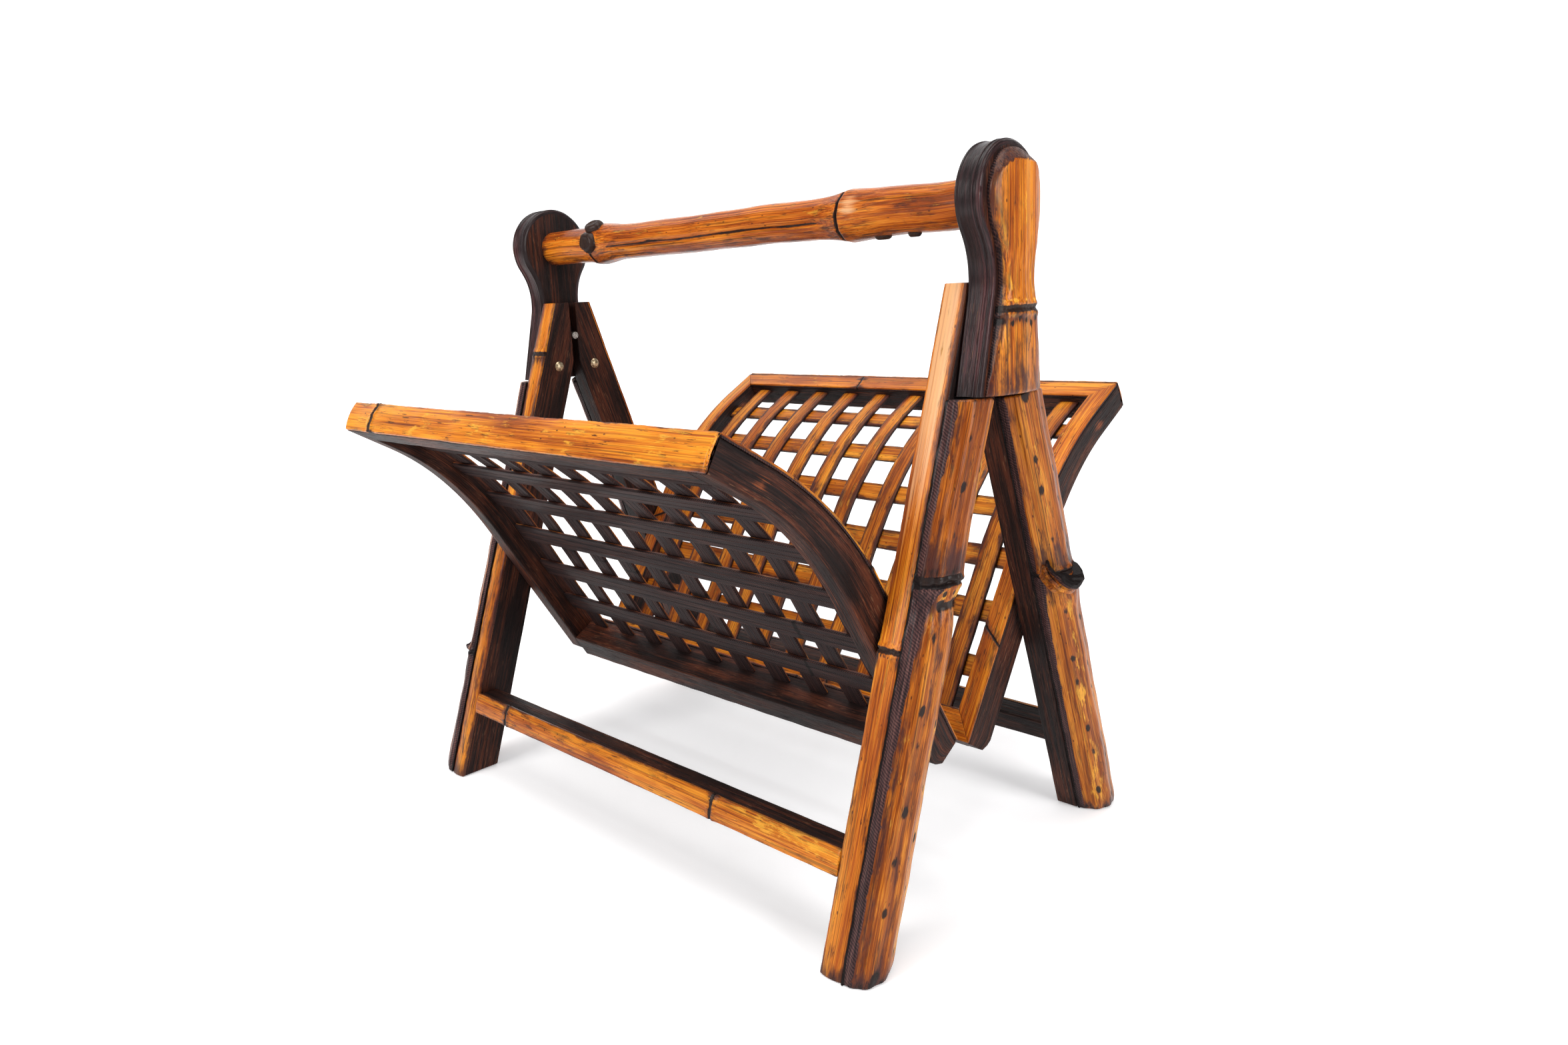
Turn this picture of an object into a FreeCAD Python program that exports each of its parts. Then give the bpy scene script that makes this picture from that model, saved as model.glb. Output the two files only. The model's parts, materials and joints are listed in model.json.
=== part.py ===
import FreeCAD, Part
import math
import os

# Folding bamboo magazine rack: two lattice panels held in a V by two pairs of crossed legs, with a pole
# handle between two shaped posts.  X runs along the handle, -Y is the front, +Z is up, the floor is z = 0.

Vector = FreeCAD.Vector

# ---- driving dimensions, millimetres and degrees ----

# side layers, measured out from the middle of the rack
BETWEEN_LEGS = 374.0        # between the inner faces of the left and right legs
BOARD_THICKNESS = 15.2      # inner board of a leg
SIDE_PLAY = 0.3             # air between a leg and the post beside it
POST_THICKNESS = 15.8       # wooden core of a post
POST_FACE_BULGE = 9.5       # how far the bamboo face stands out from the core at its middle
POST_FACE_EDGE = 3.0        # thickness of the bamboo face at its widest edge

# legs
LEG_SLANT = 18.97           # degrees from upright
LEG_WIDTH = 30.3            # across the leg, square to its length
LEG_ABOVE_PIVOT = 49.6      # the cut top, above the leg's pivot
STRIP_THICKNESS = 3.5       # bamboo strip on the outward edge of a leg
STRIP_CROWN = 1.0
CULM_WALL = 4.5             # straight side of the half culm outside a leg
CULM_CROWN = 13.5           # round part of the half culm
NODE_RING_HEIGHT = 1.2      # how far a ring at a bamboo node stands out
NODE_RING_LENGTH = 4.0

# leg pivots and stops
PIVOT_SPREAD = 17.2         # each leg pivot, from the middle of the rack
PIVOT_HEIGHT = 308.0
PIVOT_OFFSET = 2.09         # a pivot from the middle of its leg, away from the outward edge
RIVET_RADIUS = 2.2
RIVET_HEAD_RADIUS = 4.0
RIVET_HEAD_HEIGHT = 1.8
RUNNING_CLEARANCE = 0.05    # radial, around a pin that turns
HEAD_GAP = 0.25             # under a rivet head
PIN_DEPTH = 11.0            # how deep rivets and stop pins go into a post
STOP_ABOVE_PIVOT = 23.7
STOP_RADIUS = 2.75
STOP_CLEARANCE = 0.25       # between the stop pin and the upright edge at a leg's top
STOP_STICKS_OUT = 1.0       # past the inner face of the legs
FOLD_MARGIN = 0.5           # degrees past upright over which a leg stays clear of its post
POST_CLEARANCE = 0.5        # between a leg's culm and the underside of a post

# posts
POST_BELOW_PIVOT = 10.3     # underside of a post, below the leg pivots
POST_FOOT_HALF = 30.6       # half width at the bottom
POST_FOOT_FLARE = 13.0      # degrees from upright
POST_HEAD_RADIUS = 30.0
WAIST_RADIUS = 45.0         # hollow between head and foot
BAND_THICKNESS = 3.0
BEAD_HEIGHT = 0.8
BEAD_WIDTH = 1.6
INNER_BEAD = 1.6            # middle of the single bead, from the inner edge of the band
OUTER_BEADS = (4.6, 1.8)    # middle of each of the other two, from the outer edge
FACE_MARGIN = 1.2           # bamboo face inside the band's inner outline
FACE_CHAMFER_DROP = 9.0     # height of the sloping cut at the top of the bamboo face
POST_NODE_ABOVE_PIVOT = 35.0

# handle
HANDLE_ABOVE_PIVOT = 92.0
HANDLE_RADIUS = 13.0
HANDLE_SEAT_DEPTH = 9.0
HANDLE_NODES = (-139.0, 107.0)
HANDLE_NODE_SWELL = 2.4
HANDLE_NODE_HALF = 4.5
HANDLE_BUDS = (133.0, 156.0)
BUD_RADIUS = 3.2
BUD_TIP_RADIUS = 2.24
BUD_LENGTH = 4.0
BUD_ROOT = 1.0              # how far a bud reaches into the pole
SCAR_RADIUS = 8.0
SCAR_HEIGHT = 3.0
SCAR_TURNS = (58.0, 3.0)     # degrees up from the front
GROOVE_RADIUS = 5.0
GROOVE_DEPTH = 1.6

# stretchers
STRETCHER_HEIGHT = 48.7     # underside at the leg's outward edge
STRETCHER_TALL = 15.4
STRETCHER_DEPTH = 16.5
STRETCHER_FACE = 3.5
STRETCHER_TOP_SLOPE = {"front": LEG_SLANT, "rear": 0.0}  # front is level; rear is square, to clear the panel

# basket panels
PANEL_SIDE_GAP = 3.0        # between a panel and the legs at each side
RAIL_WIDTH = 14.0
LOWER_RUN = 131.0           # straight stretch of a side rail from its bottom end
BEND_RADIUS = 232.0
BEND_ANGLE = 28.7
UPPER_RUN = 39.0
LOWER_DEPTH = 26.0          # depth of a side rail below the bend
UPPER_DEPTH = 21.0          # and above it
RAIL_END_CHAMFER = 6.0
FACE_STRIP = 2.5            # bamboo strips on the inner face
TOP_SKIN = 4.0              # bamboo skin over the outward edge of the top rail
TOP_SKIN_CROWN = 1.5
TOP_RAIL_TALL = 20.0        # with its skin
BOTTOM_RAIL_TALL = 19.5
SLAT_DEPTH = 6.0            # from the inner face down to the slats
SLAT_THICKNESS = 3.0
SLAT_WIDTH = 15.0
CROSS_SLATS = 6
DOWN_SLATS = 10
FRONT_END = (-5.0, 86.0)    # bottom inner corner of the front panel, y and z
FRONT_LEAN = 59.0           # slope of its lower stretch, degrees
REAR_END = (5.0, 79.5)
REAR_LEAN = 57.2

# panel pivots
PANEL_PIN_RADIUS = 2.5
PANEL_PIN_DEPTH = 10.0      # into the rail and into the leg
SPACER_RADIUS = 5.5

# branch stubs
STUB_RISE = 35.0            # degrees above level
STUB_TAPER = 0.8            # radius at its root, as a share of the radius at its tip
STUB_ROOT = 8.0             # how far its middle starts inside the round face
STUB_DROP = 2.0             # and below the node
STUB_REACH = 9.5            # its tip is cut upright here, out from the round face

# branch stubs and rings on the half culms: side, row, height of the ring, stub radius and stub length
CULM_RINGS = ((1, -1, 200.0, 0.0, 0.0), (1, 1, 183.0, 9.0, 14.0),
              (-1, -1, 90.0, 9.0, 14.0), (-1, 1, 175.0, 0.0, 0.0))

# ---- sizes that follow ----

INNER_FACE = BETWEEN_LEGS / 2
BOARD_OUTER = INNER_FACE + BOARD_THICKNESS
POST_INNER = BOARD_OUTER + SIDE_PLAY
POST_OUTER = POST_INNER + POST_THICKNESS
SLANT = math.radians(LEG_SLANT)
PIVOT_INSET = LEG_WIDTH / 2 + PIVOT_OFFSET
FOOT_REACH = PIVOT_SPREAD + PIVOT_INSET / math.cos(SLANT) + PIVOT_HEIGHT * math.tan(SLANT)
LEG_TOP = PIVOT_HEIGHT + LEG_ABOVE_PIVOT
LEG_TOP_GAP = STOP_RADIUS + STOP_CLEARANCE
STOP_HEIGHT = PIVOT_HEIGHT + STOP_ABOVE_PIVOT
FOLD_ANGLE = LEG_SLANT + FOLD_MARGIN
POST_BOTTOM = PIVOT_HEIGHT - POST_BELOW_PIVOT
POST_NODE_HEIGHT = PIVOT_HEIGHT + POST_NODE_ABOVE_PIVOT
HANDLE_HEIGHT = PIVOT_HEIGHT + HANDLE_ABOVE_PIVOT
BEAD_INSETS = (INNER_BEAD,) + tuple(POST_THICKNESS - inset for inset in OUTER_BEADS)
PANEL_WIDTH = BETWEEN_LEGS - 2 * PANEL_SIDE_GAP
BEND = math.radians(BEND_ANGLE)
BEND_START = LOWER_RUN
BEND_END = LOWER_RUN + BEND_RADIUS * BEND
PANEL_LENGTH = BEND_END + UPPER_RUN
TOP_EDGE = PANEL_LENGTH - TOP_SKIN
TOP_INNER = PANEL_LENGTH - TOP_RAIL_TALL
PANEL_HALF = PANEL_WIDTH / 2
RAIL_INNER = PANEL_HALF - RAIL_WIDTH


# ---- small helpers ----

def save(shape, node):
    """Write one node as a STEP file, with its faces merged where they are one surface."""
    shape.removeSplitter().exportStep("parts/" + node + ".step")


def prism(points, x_low, x_high):
    """A solid from a closed outline of (y, z) points, between two values of x."""
    corners = [Vector(x_low, y, z) for y, z in points]
    face = Part.Face(Part.makePolygon(corners + corners[:1]))
    return face.extrude(Vector(x_high - x_low, 0, 0))


def outline_prism(edges, x_low, x_high):
    """A solid from edges drawn at x = 0."""
    face = Part.Face(Part.Wire(Part.__sortEdges__(edges)))
    face.translate(Vector(x_low, 0, 0))
    return face.extrude(Vector(x_high - x_low, 0, 0))


def segment(start, end):
    return Part.LineSegment(start, end).toShape()


def arc(start, middle, end):
    return Part.Arc(start, middle, end).toShape()


def rod(x_low, x_high, y, z, radius):
    """A round bar along X."""
    return Part.makeCylinder(radius, x_high - x_low, Vector(x_low, y, z), Vector(1, 0, 0))


def crowned_bar(width, side, crown, length):
    """A bar along +Z: flat back at y = 0, straight sides, and a round face towards -Y."""
    half = width / 2
    back = [Vector(-half, 0, 0), Vector(half, 0, 0)]
    front = [Vector(half, -side, 0), Vector(0, -side - crown, 0), Vector(-half, -side, 0)]
    edges = [segment(*back), segment(back[1], front[0]), arc(*front), segment(front[2], back[0])]
    return Part.Face(Part.Wire(edges)).extrude(Vector(0, 0, length))


def mirror_x(shape, side):
    return shape if side > 0 else shape.mirror(Vector(0, 0, 0), Vector(1, 0, 0))


def mirror_y(shape, row):
    """Shapes are drawn for the front row; the rear row is their mirror image."""
    return shape if row < 0 else shape.mirror(Vector(0, 0, 0), Vector(0, 1, 0))


# ---- legs, drawn for the front right leg ----

def leg_edge(z, inset=0.0):
    """y of the outward edge of a front leg at a height, moved in by an inset square to the leg."""
    return -FOOT_REACH + z * math.tan(SLANT) + inset / math.cos(SLANT)


def lean_along_leg(shape, inset):
    """Turn a bar that was built along +Z so that it runs up a front leg, its back at an inset."""
    shape.rotate(Vector(0, 0, 0), Vector(1, 0, 0), -LEG_SLANT)
    shape.translate(Vector(0, leg_edge(0, inset), 0))
    return shape


def leg_board():
    """Inner board with its pivot hole."""
    inner_foot = leg_edge(0, LEG_WIDTH)
    corner = (-LEG_TOP_GAP - inner_foot) / math.tan(SLANT)
    back = STRIP_THICKNESS
    outline = [(leg_edge(0, back), 0), (inner_foot, 0), (-LEG_TOP_GAP, corner), (-LEG_TOP_GAP, LEG_TOP),
               (leg_edge(LEG_TOP, back), LEG_TOP)]
    board = prism(outline, INNER_FACE, BOARD_OUTER)
    hole = RIVET_RADIUS + RUNNING_CLEARANCE
    return board.cut(rod(INNER_FACE - 1, BOARD_OUTER + 1, -PIVOT_SPREAD, PIVOT_HEIGHT, hole))


def edge_strip():
    """Bamboo strip that covers the outward edge of the board, cut level at the floor and the top."""
    extra = 2 * LEG_WIDTH
    side = STRIP_THICKNESS - STRIP_CROWN
    strip = crowned_bar(BOARD_THICKNESS, side, STRIP_CROWN, LEG_TOP / math.cos(SLANT) + extra)
    strip.translate(Vector((INNER_FACE + BOARD_OUTER) / 2, 0, -extra / 2))
    strip = lean_along_leg(strip, STRIP_THICKNESS)
    slab = Part.makeBox(2 * BOARD_OUTER, 4 * FOOT_REACH, LEG_TOP, Vector(0, -2 * FOOT_REACH, 0))
    return strip.common(slab)


def culm_bar(wall, crown, length):
    """A half culm along +Z that faces +X, with its flat back at x = 0 and its middle at y = 0."""
    bar = crowned_bar(LEG_WIDTH, wall, crown, length)
    bar.rotate(Vector(0, 0, 0), Vector(0, 0, 1), 90)
    return bar


def branch_stub(radius, length):
    """The cut branch that grows out of a node, pointing outward and up."""
    rise = math.radians(STUB_RISE)
    face = CULM_WALL + CULM_CROWN
    foot = Vector(face - STUB_ROOT, 0, -STUB_DROP)
    stub = Part.makeCone(radius * STUB_TAPER, radius, length, foot, Vector(math.cos(rise), 0, math.sin(rise)))
    room = 2 * length
    return stub.common(Part.makeBox(face + STUB_REACH, 2 * room, 2 * room, Vector(0, -room, -room)))


def half_culm(ring_height, stub_radius, stub_length):
    """Outer half culm of a leg, from the floor to just under the post, clear of it at every fold."""
    extra = LEG_WIDTH
    bar = culm_bar(CULM_WALL, CULM_CROWN, POST_BOTTOM / math.cos(SLANT) + 2 * extra)
    bar.translate(Vector(0, 0, -extra))
    ring = culm_bar(CULM_WALL, CULM_CROWN + NODE_RING_HEIGHT, NODE_RING_LENGTH)
    along = ring_height / math.cos(SLANT)
    ring.translate(Vector(0, 0, along - NODE_RING_LENGTH / 2))
    pieces = [ring]
    if stub_radius:
        stub = branch_stub(stub_radius, stub_length)
        stub.translate(Vector(0, 0, along))
        pieces.append(stub)
    culm = bar.fuse(pieces)
    culm.translate(Vector(BOARD_OUTER, 0, 0))
    culm = lean_along_leg(culm, LEG_WIDTH / 2)
    floor_corner = Vector(BOARD_OUTER, -2 * FOOT_REACH, -POST_BOTTOM)
    culm = culm.cut(Part.makeBox(POST_OUTER, 4 * FOOT_REACH, POST_BOTTOM, floor_corner))
    top = POST_BOTTOM - POST_CLEARANCE
    post_room = Part.makeBox(POST_OUTER, 4 * FOOT_REACH, LEG_TOP, Vector(BOARD_OUTER, -2 * FOOT_REACH, top))
    folded_room = post_room.copy()
    folded_room.rotate(Vector(0, -PIVOT_SPREAD, PIVOT_HEIGHT), Vector(1, 0, 0), -FOLD_ANGLE)
    return culm.cut(post_room).cut(folded_room)


def stretcher_core(top_slope):
    """Core of a stretcher between the left and right legs: it leans with them, and its top slopes up inwards."""
    depth = STRETCHER_DEPTH - STRETCHER_FACE
    back_tall = STRETCHER_TALL + depth * math.tan(math.radians(top_slope))
    corners = [(0, 0), (depth, 0), (depth, back_tall), (0, STRETCHER_TALL), (0, 0)]
    section = Part.Face(Part.makePolygon([Vector(-INNER_FACE, y, z) for y, z in corners]))
    return place_stretcher(section.extrude(Vector(BETWEEN_LEGS, 0, 0)), STRETCHER_FACE)


def place_stretcher(shape, inset):
    shape.rotate(Vector(0, 0, 0), Vector(1, 0, 0), -LEG_SLANT)
    shape.translate(Vector(0, leg_edge(STRETCHER_HEIGHT, inset), STRETCHER_HEIGHT))
    return shape


def stretcher_face():
    """Crowned bamboo face of a stretcher."""
    face = crowned_bar(STRETCHER_TALL, STRETCHER_FACE - STRIP_CROWN, STRIP_CROWN, BETWEEN_LEGS)
    face.rotate(Vector(0, 0, 0), Vector(0, 1, 0), 90)
    face.translate(Vector(-INNER_FACE, 0, STRETCHER_TALL / 2))
    return place_stretcher(face, STRETCHER_FACE)


def build_legs(row, name, pin_place):
    """One pair of legs with its stretcher and the pins that carry a panel."""
    for side, side_name in ((-1, "left"), (1, "right")):
        board = mirror_y(leg_board(), row)
        pin_hole = rod(INNER_FACE, INNER_FACE + PANEL_PIN_DEPTH, pin_place[0], pin_place[1], PANEL_PIN_RADIUS)
        save(mirror_x(board.cut(pin_hole), side), name + "_" + side_name + "_leg_board")
        save(mirror_x(mirror_y(edge_strip(), row), side), name + "_" + side_name + "_leg_strip")
        for ring_side, ring_row, height, radius, length in CULM_RINGS:
            if (ring_side, ring_row) == (side, row):
                culm = mirror_y(half_culm(height, radius, length), row)
                save(mirror_x(culm, side), name + "_" + side_name + "_leg_culm")
        save(mirror_x(panel_pin(pin_place), side), name + "_" + side_name + "_panel_pin")
    save(mirror_y(stretcher_core(STRETCHER_TOP_SLOPE[name]), row), name + "_stretcher_core")
    save(mirror_y(stretcher_face(), row), name + "_stretcher_face")


# ---- posts, drawn for the right side ----

def post_outline(inset):
    """Edges of a post's outline: flared foot, hollow waist and round head, moved in by an inset."""
    flare = math.radians(POST_FOOT_FLARE)
    head = POST_HEAD_RADIUS - inset
    waist = WAIST_RADIUS + inset
    foot = Vector(0, POST_FOOT_HALF - inset / math.cos(flare), POST_BOTTOM)
    outward = Vector(0, math.cos(flare), math.sin(flare))
    upward = Vector(0, -math.sin(flare), math.cos(flare))
    middle = Vector(0, 0, HANDLE_HEIGHT)
    start = foot + outward * waist - middle
    half_b = start.dot(upward)
    reach = -half_b - math.sqrt(half_b ** 2 - start.dot(start) + (head + waist) ** 2)
    hollow = foot + outward * waist + upward * reach
    on_foot = hollow - outward * waist
    towards = (hollow - middle).normalize()
    on_head = middle + towards * head
    between = (on_foot - hollow).normalize() + (on_head - hollow).normalize()
    on_waist = hollow + between.normalize() * waist

    def other(point):
        return Vector(point.x, -point.y, point.z)

    top = middle + Vector(0, 0, head)
    return [segment(foot, on_foot), arc(on_foot, on_waist, on_head), arc(on_head, top, other(on_head)),
            arc(other(on_head), other(on_waist), other(on_foot)), segment(other(on_foot), other(foot)),
            segment(other(foot), foot)]


def post_core():
    """Wooden core with the seat for the handle, and holes for the rivets and the stop pin."""
    core = outline_prism(post_outline(BAND_THICKNESS), POST_INNER, POST_OUTER)
    seat = rod(POST_INNER, POST_INNER + HANDLE_SEAT_DEPTH, 0, HANDLE_HEIGHT, HANDLE_RADIUS)
    holes = [rod(POST_INNER, POST_INNER + PIN_DEPTH, y, PIVOT_HEIGHT, RIVET_RADIUS)
             for y in (-PIVOT_SPREAD, PIVOT_SPREAD)]
    stop = rod(POST_INNER, POST_INNER + PIN_DEPTH, 0, STOP_HEIGHT, STOP_RADIUS)
    return core.cut([seat, stop] + holes)


def post_band():
    """Bent band around the edge of a post, with raised beads."""
    hollow = outline_prism(post_outline(BAND_THICKNESS), POST_INNER, POST_OUTER)
    band = outline_prism(post_outline(0), POST_INNER, POST_OUTER)
    beads = [outline_prism(post_outline(-BEAD_HEIGHT), POST_INNER + inset - BEAD_WIDTH / 2,
                           POST_INNER + inset + BEAD_WIDTH / 2) for inset in BEAD_INSETS]
    return band.fuse(beads).cut(hollow)


def face_culm(extra):
    """The big culm that a post's bamboo face is cut from."""
    half = POST_HEAD_RADIUS - BAND_THICKNESS - FACE_MARGIN
    rise = POST_FACE_BULGE - POST_FACE_EDGE
    radius = (half ** 2 + rise ** 2) / (2 * rise)
    middle = POST_OUTER + POST_FACE_BULGE - radius
    return middle, radius + extra


def post_face():
    """Bamboo face of a post: a piece of a big culm cut to the post's outline, with a node ring."""
    inset = BAND_THICKNESS + FACE_MARGIN
    blank = outline_prism(post_outline(inset), POST_OUTER, POST_OUTER + POST_FACE_BULGE + NODE_RING_HEIGHT)
    middle, radius = face_culm(0)
    tall = HANDLE_HEIGHT + POST_HEAD_RADIUS - POST_BOTTOM
    culm = Part.makeCylinder(radius, tall, Vector(middle, 0, POST_BOTTOM))
    ring_low = Vector(middle, 0, POST_NODE_HEIGHT - NODE_RING_LENGTH / 2)
    ring = Part.makeCylinder(radius + NODE_RING_HEIGHT, NODE_RING_LENGTH, ring_low)
    face = blank.common(culm.fuse(ring))
    top = HANDLE_HEIGHT + POST_HEAD_RADIUS - inset
    low = top - FACE_CHAMFER_DROP
    thin, thick, beyond = POST_FACE_EDGE, POST_FACE_BULGE, 2 * POST_FACE_BULGE
    outline = ((thin, top), (thick, low), (beyond, low), (beyond, top + 1), (thin, top + 1))
    slope = [Vector(POST_OUTER + rise, 0, z) for rise, z in outline]
    wedge = Part.Face(Part.makePolygon(slope + slope[:1])).extrude(Vector(0, 4 * POST_HEAD_RADIUS, 0))
    wedge.translate(Vector(0, -2 * POST_HEAD_RADIUS, 0))
    return face.cut(wedge)


def rivet(y):
    """Leg pivot: a shank fixed in the post, with a domed head on the leg's inner face."""
    head_base = INNER_FACE - HEAD_GAP
    end = POST_INNER + PIN_DEPTH
    dome_radius = (RIVET_HEAD_RADIUS ** 2 + RIVET_HEAD_HEIGHT ** 2) / (2 * RIVET_HEAD_HEIGHT)
    slope = math.asin(RIVET_HEAD_RADIUS / dome_radius) / 2
    tip = Vector(head_base - RIVET_HEAD_HEIGHT, 0, 0)
    shoulder = tip + Vector(dome_radius * (1 - math.cos(slope)), 0, dome_radius * math.sin(slope))
    edges = [arc(tip, shoulder, Vector(head_base, 0, RIVET_HEAD_RADIUS)),
             segment(Vector(head_base, 0, RIVET_HEAD_RADIUS), Vector(head_base, 0, RIVET_RADIUS)),
             segment(Vector(head_base, 0, RIVET_RADIUS), Vector(end, 0, RIVET_RADIUS)),
             segment(Vector(end, 0, RIVET_RADIUS), Vector(end, 0, 0)), segment(Vector(end, 0, 0), tip)]
    body = Part.Face(Part.Wire(edges)).revolve(Vector(0, 0, 0), Vector(1, 0, 0), 360)
    body.translate(Vector(0, y, PIVOT_HEIGHT))
    return body


def stop_pin():
    """Pin between the tops of the legs that stops them opening further."""
    low = INNER_FACE - STOP_STICKS_OUT
    return rod(low, POST_INNER + PIN_DEPTH, 0, STOP_HEIGHT, STOP_RADIUS)


def build_posts():
    for side, name in ((-1, "left"), (1, "right")):
        save(mirror_x(post_core(), side), name + "_post_core")
        save(mirror_x(post_band(), side), name + "_post_band")
        save(mirror_x(post_face(), side), name + "_post_face")
        save(mirror_x(stop_pin(), side), name + "_stop_pin")
        pair = Part.makeCompound([rivet(-PIVOT_SPREAD), rivet(PIVOT_SPREAD)])
        save(mirror_x(pair, side), name + "_leg_rivets")


# ---- handle ----

def handle_profile():
    """(x, radius) along the pole: plain stretches with a swelling at each node."""
    end = POST_INNER + HANDLE_SEAT_DEPTH
    profile = [(-end, HANDLE_RADIUS)]
    swollen = HANDLE_RADIUS + HANDLE_NODE_SWELL
    for x in HANDLE_NODES:
        profile += [(x - 2 * HANDLE_NODE_HALF, HANDLE_RADIUS), (x - HANDLE_NODE_HALF / 2, swollen),
                    (x + HANDLE_NODE_HALF / 2, swollen), (x + 2 * HANDLE_NODE_HALF, HANDLE_RADIUS)]
    return profile + [(end, HANDLE_RADIUS)]


def handle_pole():
    """Bamboo pole with two nodes, a dark groove between them, bud stubs and branch scars."""
    profile = handle_profile()
    rim = [Vector(x, 0, radius) for x, radius in profile]
    end = profile[-1][0]
    corners = [Vector(-end, 0, 0)] + rim + [Vector(end, 0, 0)]
    pole = Part.Face(Part.makePolygon(corners + corners[:1])).revolve(Vector(0, 0, 0), Vector(1, 0, 0), 360)
    groove_start = HANDLE_NODES[0] + 3 * HANDLE_NODE_HALF
    groove_end = HANDLE_NODES[1] - 3 * HANDLE_NODE_HALF
    lift = HANDLE_RADIUS + GROOVE_RADIUS - GROOVE_DEPTH
    pole = pole.cut(rod(groove_start, groove_end, -lift, 0, GROOVE_RADIUS))
    bud_top = BUD_ROOT - HANDLE_RADIUS
    buds = [Part.makeCone(BUD_RADIUS, BUD_TIP_RADIUS, BUD_LENGTH, Vector(x, 0, bud_top), Vector(0, 0, -1))
            for x in HANDLE_BUDS]
    scar_reach = HANDLE_RADIUS + HANDLE_NODE_SWELL + SCAR_HEIGHT
    scars = []
    for turn in SCAR_TURNS:
        out = Vector(0, -math.cos(math.radians(turn)), math.sin(math.radians(turn)))
        scars.append(Part.makeCylinder(SCAR_RADIUS, scar_reach, Vector(HANDLE_NODES[0], 0, 0), out))
    pole = pole.fuse(buds + scars)
    pole.translate(Vector(0, 0, HANDLE_HEIGHT))
    return pole


# ---- basket panels ----
# A panel is drawn upright at y = 0 with its inner face towards +Y: s runs along the inner face from the
# bottom end, and depth goes away from the inner face.  It is then leaned over for the front row.

def station(s, depth, x=0.0):
    """Point at a distance along the panel's inner face and a depth under it."""
    radius = BEND_RADIUS - depth
    if s <= BEND_START:
        return Vector(x, -depth, s)
    turn = min((s - BEND_START) / BEND_RADIUS, BEND)
    beyond = max(s - BEND_END, 0.0)
    y = -BEND_RADIUS + radius * math.cos(turn) - beyond * math.sin(turn)
    z = BEND_START + radius * math.sin(turn) + beyond * math.cos(turn)
    return Vector(x, y, z)


def run(depth, s_low, s_high):
    """Edges along the panel at one depth: straight, round and straight again."""
    stops = [s_low] + [s for s in (BEND_START, BEND_END) if s_low < s < s_high] + [s_high]
    edges = []
    for low, high in zip(stops, stops[1:]):
        if low >= BEND_START and high <= BEND_END:
            edges.append(arc(station(low, depth), station((low + high) / 2, depth), station(high, depth)))
        else:
            edges.append(segment(station(low, depth), station(high, depth)))
    return edges


def layer(depth_low, depth_high, s_low, s_high, x_low, x_high):
    """A bent layer of the panel between two depths."""
    edges = run(depth_low, s_low, s_high) + run(depth_high, s_low, s_high)
    edges += [segment(station(s, depth_low), station(s, depth_high)) for s in (s_low, s_high)]
    return outline_prism(edges, x_low, x_high)


def side_rail():
    """Right rail: bent board, deeper below the bend than above it."""
    top_in, top_out = station(TOP_EDGE, FACE_STRIP), station(TOP_EDGE, UPPER_DEPTH)
    along = Vector(0, -math.sin(BEND), math.cos(BEND))
    corner_height = (-LOWER_DEPTH - top_out.y) / along.y
    corner = top_out + along * corner_height
    radius = BEND_RADIUS - (LOWER_DEPTH + UPPER_DEPTH) / 2
    reach = radius * math.tan(BEND / 2)
    bend_low = corner - Vector(0, 0, reach)
    bend_high = corner + along * reach
    centre = bend_low - Vector(0, radius, 0)
    bend_mid = centre + Vector(0, math.cos(BEND / 2), math.sin(BEND / 2)) * radius
    end_low = Vector(0, -LOWER_DEPTH, RAIL_END_CHAMFER)
    end_mid = Vector(0, -LOWER_DEPTH + RAIL_END_CHAMFER, 0)
    edges = run(FACE_STRIP, 0, TOP_EDGE)
    edges += [segment(top_in, top_out), segment(top_out, bend_high), arc(bend_high, bend_mid, bend_low),
              segment(bend_low, end_low), segment(end_low, end_mid), segment(end_mid, station(0, FACE_STRIP))]
    return outline_prism(edges, RAIL_INNER, PANEL_HALF)


def mitred_strip(s_outer, s_inner, thickness):
    """Strip across a panel, wider along its outer edge, with both ends cut on the mitre."""
    corners = [station(s_outer, 0, -PANEL_HALF), station(s_outer, 0, PANEL_HALF),
               station(s_inner, 0, RAIL_INNER), station(s_inner, 0, -RAIL_INNER)]
    under = station(s_outer, thickness) - station(s_outer, 0)
    return Part.Face(Part.makePolygon(corners + corners[:1])).extrude(under)


def side_strip():
    """Right bamboo strip on the inner face, mitred into the top and bottom strips."""
    strip = layer(0, FACE_STRIP, 0, TOP_EDGE, RAIL_INNER, PANEL_HALF)
    return strip.cut([mitred_strip(TOP_EDGE, TOP_INNER, FACE_STRIP),
                      mitred_strip(0, BOTTOM_RAIL_TALL, FACE_STRIP)])


def top_skin():
    """Crowned bamboo skin over the whole outward edge of the top rail."""
    skin = crowned_bar(UPPER_DEPTH, TOP_SKIN - TOP_SKIN_CROWN, TOP_SKIN_CROWN, PANEL_WIDTH)
    skin.rotate(Vector(0, 0, 0), Vector(0, 1, 0), 90)
    skin.rotate(Vector(0, 0, 0), Vector(1, 0, 0), -90 + BEND_ANGLE)
    skin.translate(station(TOP_EDGE, UPPER_DEPTH / 2, -PANEL_HALF))
    return skin


def down_slats():
    """Bent slats that run from the top rail to the bottom rail."""
    pitch = 2 * RAIL_INNER / DOWN_SLATS
    slats = []
    for number in range(DOWN_SLATS):
        x = -RAIL_INNER + pitch * (number + 0.5)
        slats.append(layer(SLAT_DEPTH, SLAT_DEPTH + SLAT_THICKNESS, BOTTOM_RAIL_TALL, TOP_INNER,
                           x - SLAT_WIDTH / 2, x + SLAT_WIDTH / 2))
    return Part.makeCompound(slats)


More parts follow.
